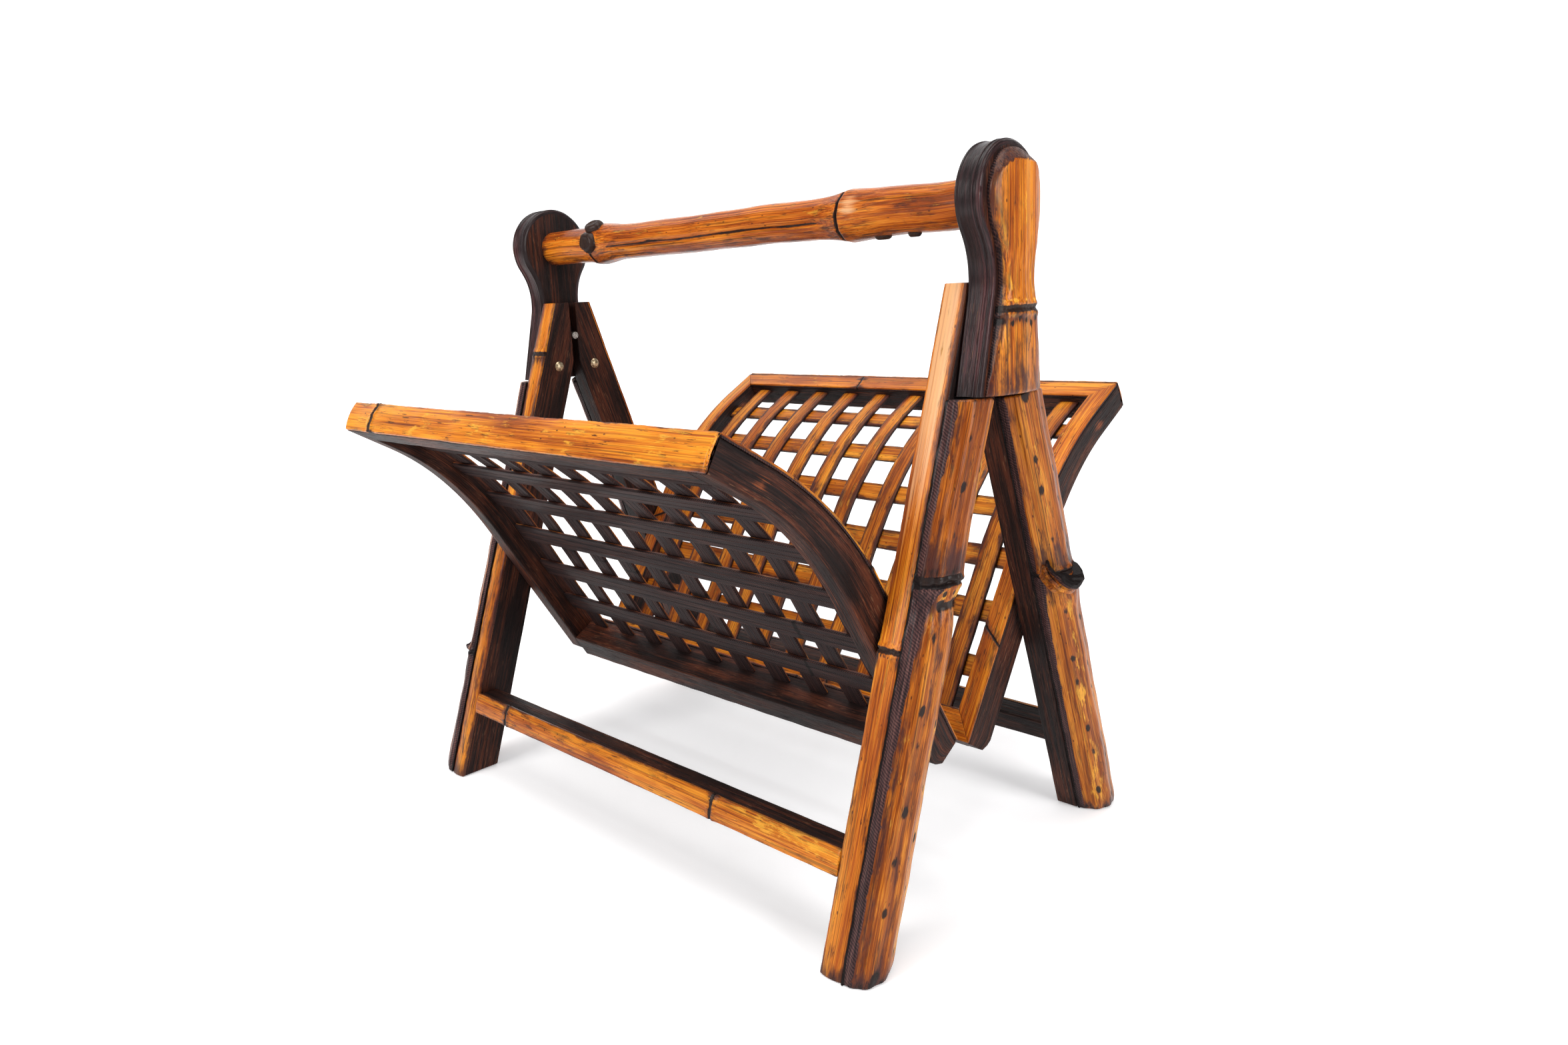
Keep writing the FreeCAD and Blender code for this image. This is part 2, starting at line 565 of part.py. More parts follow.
def cross_slats():
    """Slats across the panel, fixed to the outside of the down slats."""
    room = TOP_INNER - BOTTOM_RAIL_TALL - CROSS_SLATS * SLAT_WIDTH
    gap = room / (CROSS_SLATS + 1)
    low = SLAT_DEPTH + SLAT_THICKNESS
    slats = []
    for number in range(CROSS_SLATS):
        s = BOTTOM_RAIL_TALL + gap + number * (SLAT_WIDTH + gap)
        slats.append(layer(low, low + SLAT_THICKNESS, s, s + SLAT_WIDTH, -RAIL_INNER, RAIL_INNER))
    return Part.makeCompound(slats)


def lean_panel(shape, end, lean, row):
    """Lean an upright panel out to the front, or to the rear, with its bottom inner corner at a place."""
    shape.rotate(Vector(0, 0, 0), Vector(1, 0, 0), 90 - lean)
    shape.translate(Vector(0, -row * end[0], end[1]))
    return mirror_y(shape, row)


def panel_pin_place(end, lean):
    """Where the middle of a front panel's rail crosses the middle of the front leg, as (y, z)."""
    slope = math.tan(math.radians(lean))
    middle = LOWER_DEPTH / 2
    rail_y = end[0] - middle * math.sin(math.radians(lean))
    rail_z = end[1] - middle * math.cos(math.radians(lean))
    leg_y = leg_edge(0, LEG_WIDTH / 2)
    z = (rail_y - leg_y + rail_z / slope) / (math.tan(SLANT) + 1 / slope)
    return leg_y + z * math.tan(SLANT), z


def panel_pin(place):
    """Right panel pivot: a pin fixed in the leg, with a spacer between the leg and the rail."""
    low, high = PANEL_HALF - PANEL_PIN_DEPTH, INNER_FACE + PANEL_PIN_DEPTH
    spacer = rod(PANEL_HALF + SIDE_PLAY, INNER_FACE, *place, SPACER_RADIUS)
    return rod(low, high, *place, PANEL_PIN_RADIUS).fuse(spacer)


def build_panel(row, name, end, lean, pin_place):
    """All the pieces of one basket panel."""
    def placed(shape):
        return lean_panel(shape, end, lean, row)

    hole_radius = PANEL_PIN_RADIUS + RUNNING_CLEARANCE
    low = PANEL_HALF - PANEL_PIN_DEPTH - SIDE_PLAY
    for side, side_name in ((-1, "left"), (1, "right")):
        rail = placed(side_rail()).cut(rod(low, PANEL_HALF + 1, pin_place[0], pin_place[1], hole_radius))
        save(mirror_x(rail, side), name + "_" + side_name + "_rail")
        save(mirror_x(placed(side_strip()), side), name + "_" + side_name + "_strip")
    top = layer(FACE_STRIP, UPPER_DEPTH, TOP_INNER, TOP_EDGE, -RAIL_INNER, RAIL_INNER)
    bottom = layer(FACE_STRIP, LOWER_DEPTH, 0, BOTTOM_RAIL_TALL, -RAIL_INNER, RAIL_INNER)
    save(placed(top), name + "_top_rail")
    save(placed(bottom), name + "_bottom_rail")
    save(placed(mitred_strip(TOP_EDGE, TOP_INNER, FACE_STRIP)), name + "_top_strip")
    save(placed(mitred_strip(0, BOTTOM_RAIL_TALL, FACE_STRIP)), name + "_bottom_strip")
    save(placed(top_skin()), name + "_top_skin")
    save(placed(down_slats()), name + "_down_slats")
    save(placed(cross_slats()), name + "_cross_slats")


def build_all():
    os.makedirs("parts", exist_ok=True)
    front_pin = panel_pin_place(FRONT_END, FRONT_LEAN)
    mirrored_pin = panel_pin_place((-REAR_END[0], REAR_END[1]), REAR_LEAN)
    rear_pin = (-mirrored_pin[0], mirrored_pin[1])
    save(handle_pole(), "handle_pole")
    build_posts()
    build_legs(-1, "front", front_pin)
    build_legs(1, "rear", rear_pin)
    build_panel(-1, "front_panel", FRONT_END, FRONT_LEAN, front_pin)
    build_panel(1, "rear_panel", REAR_END, REAR_LEAN, rear_pin)
    print("panel pins at", front_pin, rear_pin)


build_all()
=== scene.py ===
"""Looks of a folding bamboo magazine rack, built around its fixed CAD frame.

Every bamboo and wooden piece is made as a bar that is carried along its own line, with its node rings, facets,
worn edges and saw cuts in the mesh and its grain, streaks and burn marks in the finish.  Sizes are in millimetres
until a mesh is written, and the row frame is X along the handle, -Y to the front and +Z up.
"""

from __future__ import annotations

import json
import logging
import math
from dataclasses import dataclass, field
from enum import Enum
from typing import Any, Callable, Sequence

import bmesh
import bpy
import numpy as np
from mathutils import Matrix, Vector

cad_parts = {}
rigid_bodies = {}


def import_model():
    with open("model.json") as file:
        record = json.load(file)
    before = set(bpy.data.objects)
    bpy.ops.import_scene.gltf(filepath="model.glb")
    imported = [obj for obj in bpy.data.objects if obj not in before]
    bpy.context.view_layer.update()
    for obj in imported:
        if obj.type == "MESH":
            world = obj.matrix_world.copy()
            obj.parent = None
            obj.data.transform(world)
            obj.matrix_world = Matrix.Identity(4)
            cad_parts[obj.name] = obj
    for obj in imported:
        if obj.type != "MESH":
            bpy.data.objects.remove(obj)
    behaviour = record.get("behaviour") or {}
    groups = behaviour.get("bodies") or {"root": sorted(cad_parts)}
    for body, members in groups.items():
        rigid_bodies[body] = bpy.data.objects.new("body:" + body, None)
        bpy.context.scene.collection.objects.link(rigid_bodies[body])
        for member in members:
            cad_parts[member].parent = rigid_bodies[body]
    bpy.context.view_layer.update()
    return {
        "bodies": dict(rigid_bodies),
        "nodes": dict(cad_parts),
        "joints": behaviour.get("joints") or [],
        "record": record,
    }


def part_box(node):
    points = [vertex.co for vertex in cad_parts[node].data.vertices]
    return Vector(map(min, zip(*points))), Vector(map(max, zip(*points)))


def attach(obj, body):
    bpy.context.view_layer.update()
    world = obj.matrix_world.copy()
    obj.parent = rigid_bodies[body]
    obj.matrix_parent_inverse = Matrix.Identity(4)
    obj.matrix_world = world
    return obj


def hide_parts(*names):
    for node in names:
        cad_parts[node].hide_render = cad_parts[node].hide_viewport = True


LOG = logging.getLogger("rack")
MM = 0.001
Colour = tuple[float, float, float]
Array = np.ndarray
Paint = dict[str, Array]
Spot = tuple[float, float, float]

SIDES = ((-1, "left"), (1, "right"))
NODE_REACH = 8.0  # millimetres of closer stations on each side of a node
NODE_STEP = 0.55
SHARP_ANGLE = 50.0

WORN: Colour = (0.80, 0.38, 0.036)
# Pale pinkish tan of a painted highlight: the lamps' gloss on the lacquer, laid into the colour.
PAINTED_SHEEN_TINT: Colour = (0.70, 0.40, 0.20)
# Dark purple-brown of stains, and of the painted shade on the pole's underside.
STAIN_AND_SHADE_COLOUR: Colour = (0.042, 0.013, 0.012)
BURNT: Colour = (0.010, 0.006, 0.0055)
WORN_WOOD: Colour = (0.27, 0.070, 0.022)
SCUFFED_WOOD: Colour = (0.155, 0.070, 0.036)
SOOT: Colour = (0.007, 0.004, 0.004)
# Near black for burns on cut fibres, and for the painted shade in the gap behind each culm.
BURN_AND_GAP_SHADE_BLACK: Colour = (0.006, 0.004, 0.004)
CUT_BLACK: Colour = (0.009, 0.005, 0.006)


# ---- Shader maths ----


class Signal:
    """A number that changes over a surface, with the operators that turn an expression into nodes."""

    def __init__(self, bench: "NodeBench", socket: bpy.types.NodeSocket) -> None:
        """Wrap an output socket.

        Args:
            bench: the bench whose node tree the socket is in.
            socket: the output socket.
        """
        self.bench = bench
        self.socket = socket

    def _math(self, operation: str, other: "Number", swapped: bool = False) -> "Signal":
        """One Math node.

        Args:
            operation: the node's operation.
            other: the second value.
            swapped: whether the second value comes first.

        Returns:
            The node's value.
        """
        first, second = (other, self) if swapped else (self, other)
        node = self.bench.add("ShaderNodeMath", {"operation": operation}, {0: first, 1: second})
        return Signal(self.bench, node.outputs[0])

    def __add__(self, other: "Number") -> "Signal":
        """Sum."""
        return self._math("ADD", other)

    __radd__ = __add__

    def __sub__(self, other: "Number") -> "Signal":
        """Difference."""
        return self._math("SUBTRACT", other)

    def __rsub__(self, other: "Number") -> "Signal":
        """Difference, the other way round."""
        return self._math("SUBTRACT", other, swapped=True)

    def __mul__(self, other: "Number") -> "Signal":
        """Product."""
        return self._math("MULTIPLY", other)

    __rmul__ = __mul__

    def above(self, low: float, high: float) -> "Signal":
        """A soft step.

        Args:
            low: where the step starts.
            high: where it ends.

        Returns:
            0 below low, 1 above high, and smooth between them.
        """
        node = self.bench.add("ShaderNodeMapRange", {"interpolation_type": "SMOOTHSTEP"},
                              {"Value": self, "From Min": low, "From Max": high})
        return Signal(self.bench, node.outputs[0])

    def below(self, low: float, high: float) -> "Signal":
        """The reverse of a soft step."""
        return 1.0 - self.above(low, high)

    def largest(self, other: "Number") -> "Signal":
        """The larger of two values."""
        return self._math("MAXIMUM", other)


class Tint(Signal):
    """A colour or a vector that changes over a surface."""


Number = float | Signal
Hue = Colour | Tint


class NodeBench:
    """Builds one finish's node tree."""

    def __init__(self, name: str) -> None:
        """Start an empty material.

        Args:
            name: the finish's name.
        """
        self.material = bpy.data.materials.new(name)
        self.material.use_nodes = True
        self.tree = self.material.node_tree
        self.tree.nodes.clear()

    def add(self, kind: str, settings: dict[str, object] | None = None,
            values: dict[int | str, object] | None = None) -> bpy.types.Node:
        """Make any node: its settings first, then its sockets.

        Args:
            kind: the node's type.
            settings: the node's own settings; "stops" fills a colour ramp.
            values: numbers, colours or signals for its input sockets, by index or name.

        Returns:
            The node.
        """
        node = self.tree.nodes.new(kind)
        for key, value in (settings or {}).items():
            if key == "stops":
                self._fill_ramp(node.color_ramp, value)
            else:
                setattr(node, key, value)
        for key, value in (values or {}).items():
            if isinstance(value, Signal):
                self.tree.links.new(value.socket, node.inputs[key])
            elif isinstance(value, tuple) and len(value) == 3 and node.inputs[key].type == "RGBA":
                node.inputs[key].default_value = (*value, 1.0)
            else:
                node.inputs[key].default_value = value
        return node

    @staticmethod
    def _fill_ramp(ramp: bpy.types.ColorRamp, stops: Sequence[tuple[float, Colour]]) -> None:
        """Put the stops into a colour ramp.

        Args:
            ramp: the ramp.
            stops: places and colours in order.
        """
        while len(ramp.elements) < len(stops):
            ramp.elements.new(0.5)
        for element, (place, colour) in zip(ramp.elements, stops):
            element.position = place
            element.color = (*colour, 1.0)

    def painted(self, name: str) -> Signal:
        """A value painted on the mesh."""
        node = self.add("ShaderNodeAttribute", {"attribute_type": "GEOMETRY", "attribute_name": name})
        return Signal(self, node.outputs["Fac"])

    def straight(self) -> Tint:
        """The place on a piece as if it lay straight along Z, in metres."""
        node = self.add("ShaderNodeAttribute", {"attribute_type": "GEOMETRY", "attribute_name": "straight"})
        return Tint(self, node.outputs["Vector"])

    def upright(self) -> Tint:
        """The place in the row frame, in metres, for pieces whose grain runs up."""
        return Tint(self, self.add("ShaderNodeTexCoord").outputs["Object"])

    def stretched(self, place: Tint, scale: Spot) -> Tint:
        """A place multiplied along each of its axes."""
        node = self.add("ShaderNodeVectorMath", {"operation": "MULTIPLY"}, {0: place, 1: scale})
        return Tint(self, node.outputs[0])

    def moved(self, place: Tint, by: Spot) -> Tint:
        """A place moved by an amount."""
        node = self.add("ShaderNodeVectorMath", {"operation": "ADD"}, {0: place, 1: by})
        return Tint(self, node.outputs[0])

    def mottle(self, place: Tint, across: float, along: float, detail: float = 2.0, shift: float = 0.0,
               rough: float = 0.5) -> Signal:
        """Noise drawn out along the grain.

        Args:
            place: where the noise is read.
            across: features per metre across the grain.
            along: features per metre along it.
            detail: octaves of the noise.
            shift: moves the pattern, so that two of them differ.
            rough: how strong the finer octaves are.

        Returns:
            The noise, spread over 0 to 1.
        """
        drawn = self.stretched(self.moved(place, (shift, shift, shift)), (across, across, along))
        node = self.add("ShaderNodeTexNoise", {}, {"Vector": drawn, "Scale": 1.0, "Detail": detail,
                                                   "Roughness": rough})
        spread = self.add("ShaderNodeMapRange", {}, {"Value": Signal(self, node.outputs[0]), "From Min": 0.28,
                                                     "From Max": 0.72})
        return Signal(self, spread.outputs[0])

    def dots(self, place: Tint, across: float, along: float, size: float) -> Signal:
        """Small scattered pin marks.

        Args:
            place: where they are read.
            across: marks per metre across the grain.
            along: marks per metre along it.
            size: radius of a mark, as a share of the distance between marks.

        Returns:
            1 inside a mark and 0 outside it.
        """
        drawn = self.stretched(place, (across, across, along))
        node = self.add("ShaderNodeTexVoronoi", {}, {"Vector": drawn, "Scale": 1.0})
        return Signal(self, node.outputs["Distance"]).below(size * 0.6, size)

    def ramp(self, value: Signal, *stops: tuple[float, Colour]) -> Tint:
        """Colours along a value."""
        node = self.add("ShaderNodeValToRGB", {"stops": stops}, {0: value})
        return Tint(self, node.outputs[0])

    def blend(self, share: Number, first: Hue, second: Hue) -> Tint:
        """One colour laid over another.

        Args:
            share: how much of the second colour shows.
            first: the colour underneath.
            second: the colour on top.

        Returns:
            The mixed colour.
        """
        node = self.add("ShaderNodeMix", {"data_type": "RGBA"}, {0: share, 6: first, 7: second})
        return Tint(self, node.outputs[2])

    def surface(self, colour: Hue, roughness: Number, height: Signal | None, depth: float,
                **fixed: Number | Hue) -> bpy.types.Material:
        """Finish the material with one principled shader.

        Args:
            colour: the base colour.
            roughness: the roughness.
            height: what the bump follows, from 0 to 1, or None.
            depth: the bump's depth at 1, in metres.
            fixed: the other sockets, by name with _ for spaces.

        Returns:
            The material.
        """
        values: dict[int | str, object] = {"Base Color": colour, "Roughness": roughness}
        if height is not None:
            bump = self.add("ShaderNodeBump", {}, {"Strength": 1.0, "Distance": depth, "Height": height})
            values["Normal"] = Tint(self, bump.outputs[0])
        values.update({name.replace("_", " "): number for name, number in fixed.items()})
        shader = self.add("ShaderNodeBsdfPrincipled", {}, values)
        output = self.add("ShaderNodeOutputMaterial")
        self.tree.links.new(shader.outputs[0], output.inputs[0])
        return self.material


# ---- Finishes ----


@dataclass(frozen=True)
class BambooFinish:
    """Lacquered bamboo skin, scorched and worn, with dark fibres where it is cut; its colour also holds a painted
    highlight and painted shade.
    """

    name: str
    pale: Colour = (0.80, 0.31, 0.022)
    amber: Colour = (0.60, 0.185, 0.012)
    orange: Colour = (0.34, 0.074, 0.006)
    brown: Colour = (0.165, 0.036, 0.005)
    umber: Colour = (0.062, 0.016, 0.005)
    cut_dark: Colour = (0.024, 0.011, 0.012)
    cut_light: Colour = (0.090, 0.036, 0.026)
    streaks: float = 0.5
    dashes: float = 0.5
    roughness: float = 0.34
    coat: float = 0.10

    def build(self) -> bpy.types.Material:
        """Make the material.

        Returns:
            The material.
        """
        bench = NodeBench(self.name)
        place = bench.straight()
        hair = bench.mottle(place, 2400.0, 30.0, 3.0)
        streak = bench.mottle(place, 560.0, 7.0, 4.0, shift=3.1, rough=0.6)
        line = bench.mottle(place, 1100.0, 4.5, 2.0, shift=40.0)
        broad = bench.mottle(place, 75.0, 11.0, 3.0, shift=7.7)
        patch = bench.mottle(place, 260.0, 70.0, 4.0, shift=12.3, rough=0.65)
        tone = broad * 0.36 + streak * 0.40 + hair * 0.24
        skin = bench.ramp(tone, (0.24, self.brown), (0.38, self.orange), (0.54, self.amber), (0.74, self.pale))
        skin = bench.blend(line.above(0.58, 0.82) * (0.75 * self.streaks), skin, self.umber)
        skin = bench.blend(streak.above(0.66, 0.90) * self.streaks, skin, self.umber)
        dash = bench.mottle(place, 1500.0, 60.0, 2.0, shift=21.0).above(0.60, 0.78)
        skin = bench.blend(dash * patch.above(0.50, 0.72) * self.dashes, skin, self.umber)
        skin = bench.blend(bench.dots(place, 190.0, 90.0, 0.11) * 0.85, skin, self.umber)
        # Painted highlight: pale pinkish patches where the lacquer would catch a lamp's gloss.
        faded = (bench.painted("faded") + (streak - 0.5) * 0.5).above(0.25, 0.75)
        skin = bench.blend(faded * 0.80, skin, PAINTED_SHEEN_TINT)
        wear = (bench.painted("wear") + (patch - 0.5) * 0.9 + (hair - 0.5) * 0.25).above(0.38, 0.70)
        skin = bench.blend(wear * 0.72, skin, WORN)
        # Stains, and the painted shade on the pole's underside.
        stain = (bench.painted("stain") + (patch - 0.5) * 0.75 + (streak - 0.5) * 0.45).above(0.16, 0.84)
        skin = bench.blend(stain * 0.92, skin, STAIN_AND_SHADE_COLOUR)
        char = (bench.painted("char") + (patch - 0.5) * 0.45 + (hair - 0.5) * 0.25).above(0.34, 0.60)
        skin = bench.blend(char * 0.97, skin, BURNT)
        cut_tone = bench.mottle(place, 700.0, 26.0, 4.0, shift=31.0, rough=0.7)
        marks = bench.add("ShaderNodeTexWave", {"bands_direction": "DIAGONAL"},
                          {"Vector": bench.stretched(place, (200.0, 200.0, 360.0)), "Scale": 1.0,
                           "Distortion": 3.0, "Detail": 2.0})
        saw = Signal(bench, marks.outputs["Fac"])
        cut = bench.ramp(cut_tone * 0.72 + saw * 0.28, (0.22, CUT_BLACK), (0.50, self.cut_dark),
                         (0.82, self.cut_light))
        # Burns on cut fibres, and the painted gap shade along the back of each culm.
        cut = bench.blend(char * 0.95, cut, BURN_AND_GAP_SHADE_BLACK)
        bare = (bench.painted("skin") + (streak - 0.5) * 0.3).above(0.38, 0.62)
        colour = bench.blend(bare, cut, skin)
        roughness = (0.66 - bare * (0.66 - self.roughness) + char * 0.2 + (hair - 0.5) * 0.14).largest(0.1)
        height = hair * 0.16 + streak * 0.26 + saw * (1.0 - bare) * 0.8 + cut_tone * (1.0 - bare) * 0.9 - char * 0.35
        return bench.surface(colour, roughness, height, 0.00035, Coat_Weight=self.coat, Coat_Roughness=0.16,
                             IOR=1.45, Specular_IOR_Level=0.17)


class GrainLine(Enum):
    """Where a dark wood finish reads its grain."""

    ALONG_PIECE = "straight"
    UPRIGHT = "upright"


@dataclass(frozen=True)
class DarkWoodFinish:
    """Wood or the inner side of bamboo under a dark stain and old varnish."""

    name: str
    black: Colour = (0.0055, 0.0028, 0.0028)
    brown: Colour = (0.018, 0.0070, 0.0056)
    red: Colour = (0.085, 0.023, 0.011)
    redness: float = 0.5
    scuffs: float = 0.7
    roughness: float = 0.54
    coat: float = 0.04
    sheen: float = 0.16
    grain: GrainLine = GrainLine.ALONG_PIECE

    def build(self) -> bpy.types.Material:
        """Make the material.

        Returns:
            The material.
        """
        bench = NodeBench(self.name)
        place = bench.straight() if self.grain is GrainLine.ALONG_PIECE else bench.upright()
        hair = bench.mottle(place, 2200.0, 40.0, 3.0)
        grain = bench.mottle(place, 520.0, 11.0, 4.0, shift=4.0, rough=0.65)
        broad = bench.mottle(place, 60.0, 14.0, 3.0, shift=9.0)
        tone = grain * 0.42 + broad * 0.40 + hair * 0.18 - 0.06 + 0.12 * self.redness
        wood = bench.ramp(tone, (0.28, self.black), (0.48, self.brown), (0.70, self.red))
        if self.grain is GrainLine.ALONG_PIECE:
            worn = (bench.painted("wear") + (grain - 0.5) * 0.6).above(0.35, 0.75)
            wood = bench.blend(worn * 0.7, wood, WORN_WOOD)
            sooty = (bench.painted("char") + (grain - 0.5) * 0.4).above(0.35, 0.65)
            wood = bench.blend(sooty * 0.9, wood, SOOT)
        pores = bench.mottle(place, 1500.0, 70.0, 2.0, shift=15.0).above(0.62, 0.78)
        wood = bench.blend(pores * 0.6, wood, self.black)
        scuffs = bench.mottle(place, 1300.0, 120.0, 3.0, shift=52.0).above(0.74, 0.92) * broad.above(0.35, 0.75)
        wood = bench.blend(scuffs * self.scuffs, wood, SCUFFED_WOOD)
        roughness = self.roughness + (grain - 0.5) * 0.16 + pores * 0.15
        height = grain * 0.45 + hair * 0.2 - pores * 0.4
        return bench.surface(wood, roughness, height, 0.0004, Coat_Weight=self.coat, Coat_Roughness=0.2,
                             IOR=1.45, Specular_IOR_Level=self.sheen)


@dataclass(frozen=True)
class MetalFinish:
    """Old metal of a rivet or a pin."""

    name: str
    bright: Colour
    dull: Colour
    roughness: float = 0.38

    def build(self) -> bpy.types.Material:
        """Make the material.

        Returns:
            The material.
        """
        bench = NodeBench(self.name)
        place = bench.upright()
        tarnish = bench.mottle(place, 700.0, 700.0, 4.0)
        scratch = bench.mottle(place, 3000.0, 500.0, 2.0, shift=5.0)
        colour = bench.blend(tarnish.above(0.30, 0.85), self.bright, self.dull)
        roughness = self.roughness + (tarnish - 0.5) * 0.25 + (scratch - 0.5) * 0.1
        return bench.surface(colour, roughness, scratch, 0.00004, Metallic=1.0)


@dataclass(frozen=True)
class FinishSet:
    """Every finish of the rack, by the record's material slot."""

    pole: BambooFinish = BambooFinish("handle_lacquer", pale=(0.72, 0.26, 0.024), amber=(0.49, 0.122, 0.008),
                                      orange=(0.25, 0.045, 0.005), streaks=0.85, dashes=0.8, roughness=0.28)
    face: BambooFinish = BambooFinish("post_face_lacquer", pale=(0.70, 0.27, 0.026), amber=(0.54, 0.160, 0.011),
                                      orange=(0.29, 0.060, 0.005), streaks=0.75, dashes=0.6)
    culm: BambooFinish = BambooFinish("culm_lacquer", pale=(0.62, 0.235, 0.024), amber=(0.37, 0.098, 0.008),
                                      orange=(0.17, 0.035, 0.004), cut_dark=(0.044, 0.019, 0.020),
                                      cut_light=(0.130, 0.060, 0.052), streaks=0.75, dashes=0.75)
    strip: BambooFinish = BambooFinish("strip_lacquer", pale=(0.78, 0.31, 0.026), amber=(0.57, 0.165, 0.010),
                                       orange=(0.31, 0.062, 0.005), streaks=0.6, dashes=0.8)
    skin: BambooFinish = BambooFinish("lip_lacquer", streaks=0.55, dashes=1.0)
    slat: BambooFinish = BambooFinish("slat_lacquer", pale=(0.70, 0.29, 0.028), amber=(0.50, 0.150, 0.011),
                                      orange=(0.27, 0.060, 0.006), cut_dark=(0.013, 0.0060, 0.0062),
                                      cut_light=(0.055, 0.021, 0.016), streaks=0.8, dashes=0.8, roughness=0.40)
    wood: DarkWoodFinish = DarkWoodFinish("dark_stained_wood")
    band: DarkWoodFinish = DarkWoodFinish("plum_brown_band", black=(0.010, 0.0055, 0.0062),
                                          brown=(0.021, 0.0098, 0.0106), red=(0.080, 0.026, 0.028),
                                          redness=0.2, scuffs=0.45, roughness=0.36, coat=0.14, sheen=0.20)
    core: DarkWoodFinish = DarkWoodFinish("post_core_wood", redness=0.6, roughness=0.44,
                                          grain=GrainLine.UPRIGHT)
    brass: MetalFinish = MetalFinish("aged_brass", (0.62, 0.50, 0.33), (0.20, 0.14, 0.08))
    steel: MetalFinish = MetalFinish("aged_steel", (0.58, 0.56, 0.53), (0.20, 0.17, 0.14))

    def build(self) -> dict[str, bpy.types.Material]:
        """Make every material.

        Returns:
            The materials by slot name.
        """
        made = {"bamboo_pole": self.pole, "bamboo_face": self.face, "bamboo_culm": self.culm,
                "bamboo_strip": self.strip, "lip_skin": self.skin, "bamboo_slat": self.slat,
                "dark_wood": self.wood, "band_dark_wood": self.band, "post_core": self.core,
                "rivet_brass": self.brass, "pin_steel": self.steel}
        return {slot: finish.build() for slot, finish in made.items()}


# ---- Shapes ----


def wobble(at: Array, seed: float, wave: float, height: float) -> Array:
    """A smooth irregular wave.

    Args:
        at: where it is read.
        seed: picks the wave.
        wave: its usual length.
        height: its greatest height.

    Returns:
        The height at each place.
    """
    turn = 2.0 * math.pi / wave
    return height * (0.5 * np.sin(at * turn + seed * 5.1) + 0.3 * np.sin(at * turn * 2.3 + seed * 9.7)
                     + 0.2 * np.sin(at * turn * 4.9 + seed * 2.3))


def bell(at: Array, middle: float, width: float) -> Array:
    """1 at the middle, falling off smoothly over the width."""
    return np.exp(-((at - middle) / width) ** 2)


def bells(at: Array, middles: Sequence[float], width: float, shift: Array | float = 0.0) -> Array:
    """Bells at several places, added up."""
    return sum((bell(at, middle + shift, width) for middle in middles), 0.0 * at)


def soft_step(at: Array, low: float, high: float) -> Array:
    """0 before low, 1 after high, smooth between."""
    share = np.clip((at - low) / (high - low), 0.0, 1.0)
    return share * share * (3.0 - 2.0 * share)


def node_ring(at: Array, middle: float, height: float) -> Array:
    """Lift of the skin around a bamboo node: a swelling with a groove between two ridges.

    Args:
        at: places along the piece.
        middle: where the node is.
        height: height of its larger ridge.

    Returns:
        The lift at each place.
    """
    return height * (0.35 * bell(at, middle, 9.0) + 0.65 * bell(at, middle + 2.0, 1.7)
                     + 0.45 * bell(at, middle - 2.2, 1.6) - 0.75 * bell(at, middle, 0.8))


def rings(along: Array, across: Array, nodes: Sequence[float], wave: float, sway: float, height: float) -> Array:
    """Lift of a piece's node rings, which wander a little across it.

    Args:
        along: places along the piece.
        across: places across it.
        nodes: where its nodes are.
        wave: length of the wandering.
        sway: how far a ring wanders.
        height: height of the larger ridge.

    Returns:
        The lift at each place.
    """
    return sum((node_ring(along, at + wobble(across, at, wave, sway), height) for at in nodes), 0.0 * along)


def rounded_outline(corners: Sequence[tuple[float, float]], radius: float, spacing: float) -> Array:
    """A closed outline with round corners and evenly placed points.

    Args:
        corners: the outline's corners in order.
        radius: radius of each round corner.
        spacing: distance between points on the straight parts.

    Returns:
        The points, one row each.
    """
    points: list[tuple[float, float]] = []
    ends: list[tuple[Array, Array, Array]] = []
    for number, corner in enumerate(corners):
        here = np.array(corner, float)
        before = np.array(corners[number - 1], float) - here
        after = np.array(corners[(number + 1) % len(corners)], float) - here
        before_length, after_length = np.linalg.norm(before), np.linalg.norm(after)
        before, after = before / before_length, after / after_length
        half = math.acos(float(np.clip(before @ after, -1.0, 1.0))) / 2.0
        cut = min(radius / max(math.tan(half), 0.05), 0.45 * before_length, 0.45 * after_length)
        ends.append((here + before * cut, here, here + after * cut))
    for number, (start, here, end) in enumerate(ends):
        for share in (0.0, 0.34, 0.67, 1.0):
            spot = (1 - share) ** 2 * start + 2 * share * (1 - share) * here + share ** 2 * end
            points.append(tuple(spot))
        following = ends[(number + 1) % len(ends)][0]
        length = float(np.linalg.norm(following - end))
        for step in range(1, max(1, int(length / spacing))):
            points.append(tuple(end + (following - end) * step / max(1, int(length / spacing))))
    return np.array(points)


def outline_normals(outline: Array) -> Array:
    """Unit vectors that point out of a closed outline.

    Args:
        outline: its points.

    Returns:
        One vector for each point.
    """
    along = np.roll(outline, -1, 0) - np.roll(outline, 1, 0)
    normals = np.stack([along[:, 1], -along[:, 0]], 1)
    normals /= np.maximum(np.linalg.norm(normals, axis=1, keepdims=True), 1e-9)
    area = np.sum(outline[:, 0] * np.roll(outline[:, 1], -1) - np.roll(outline[:, 0], -1) * outline[:, 1])
    return normals if area > 0 else -normals


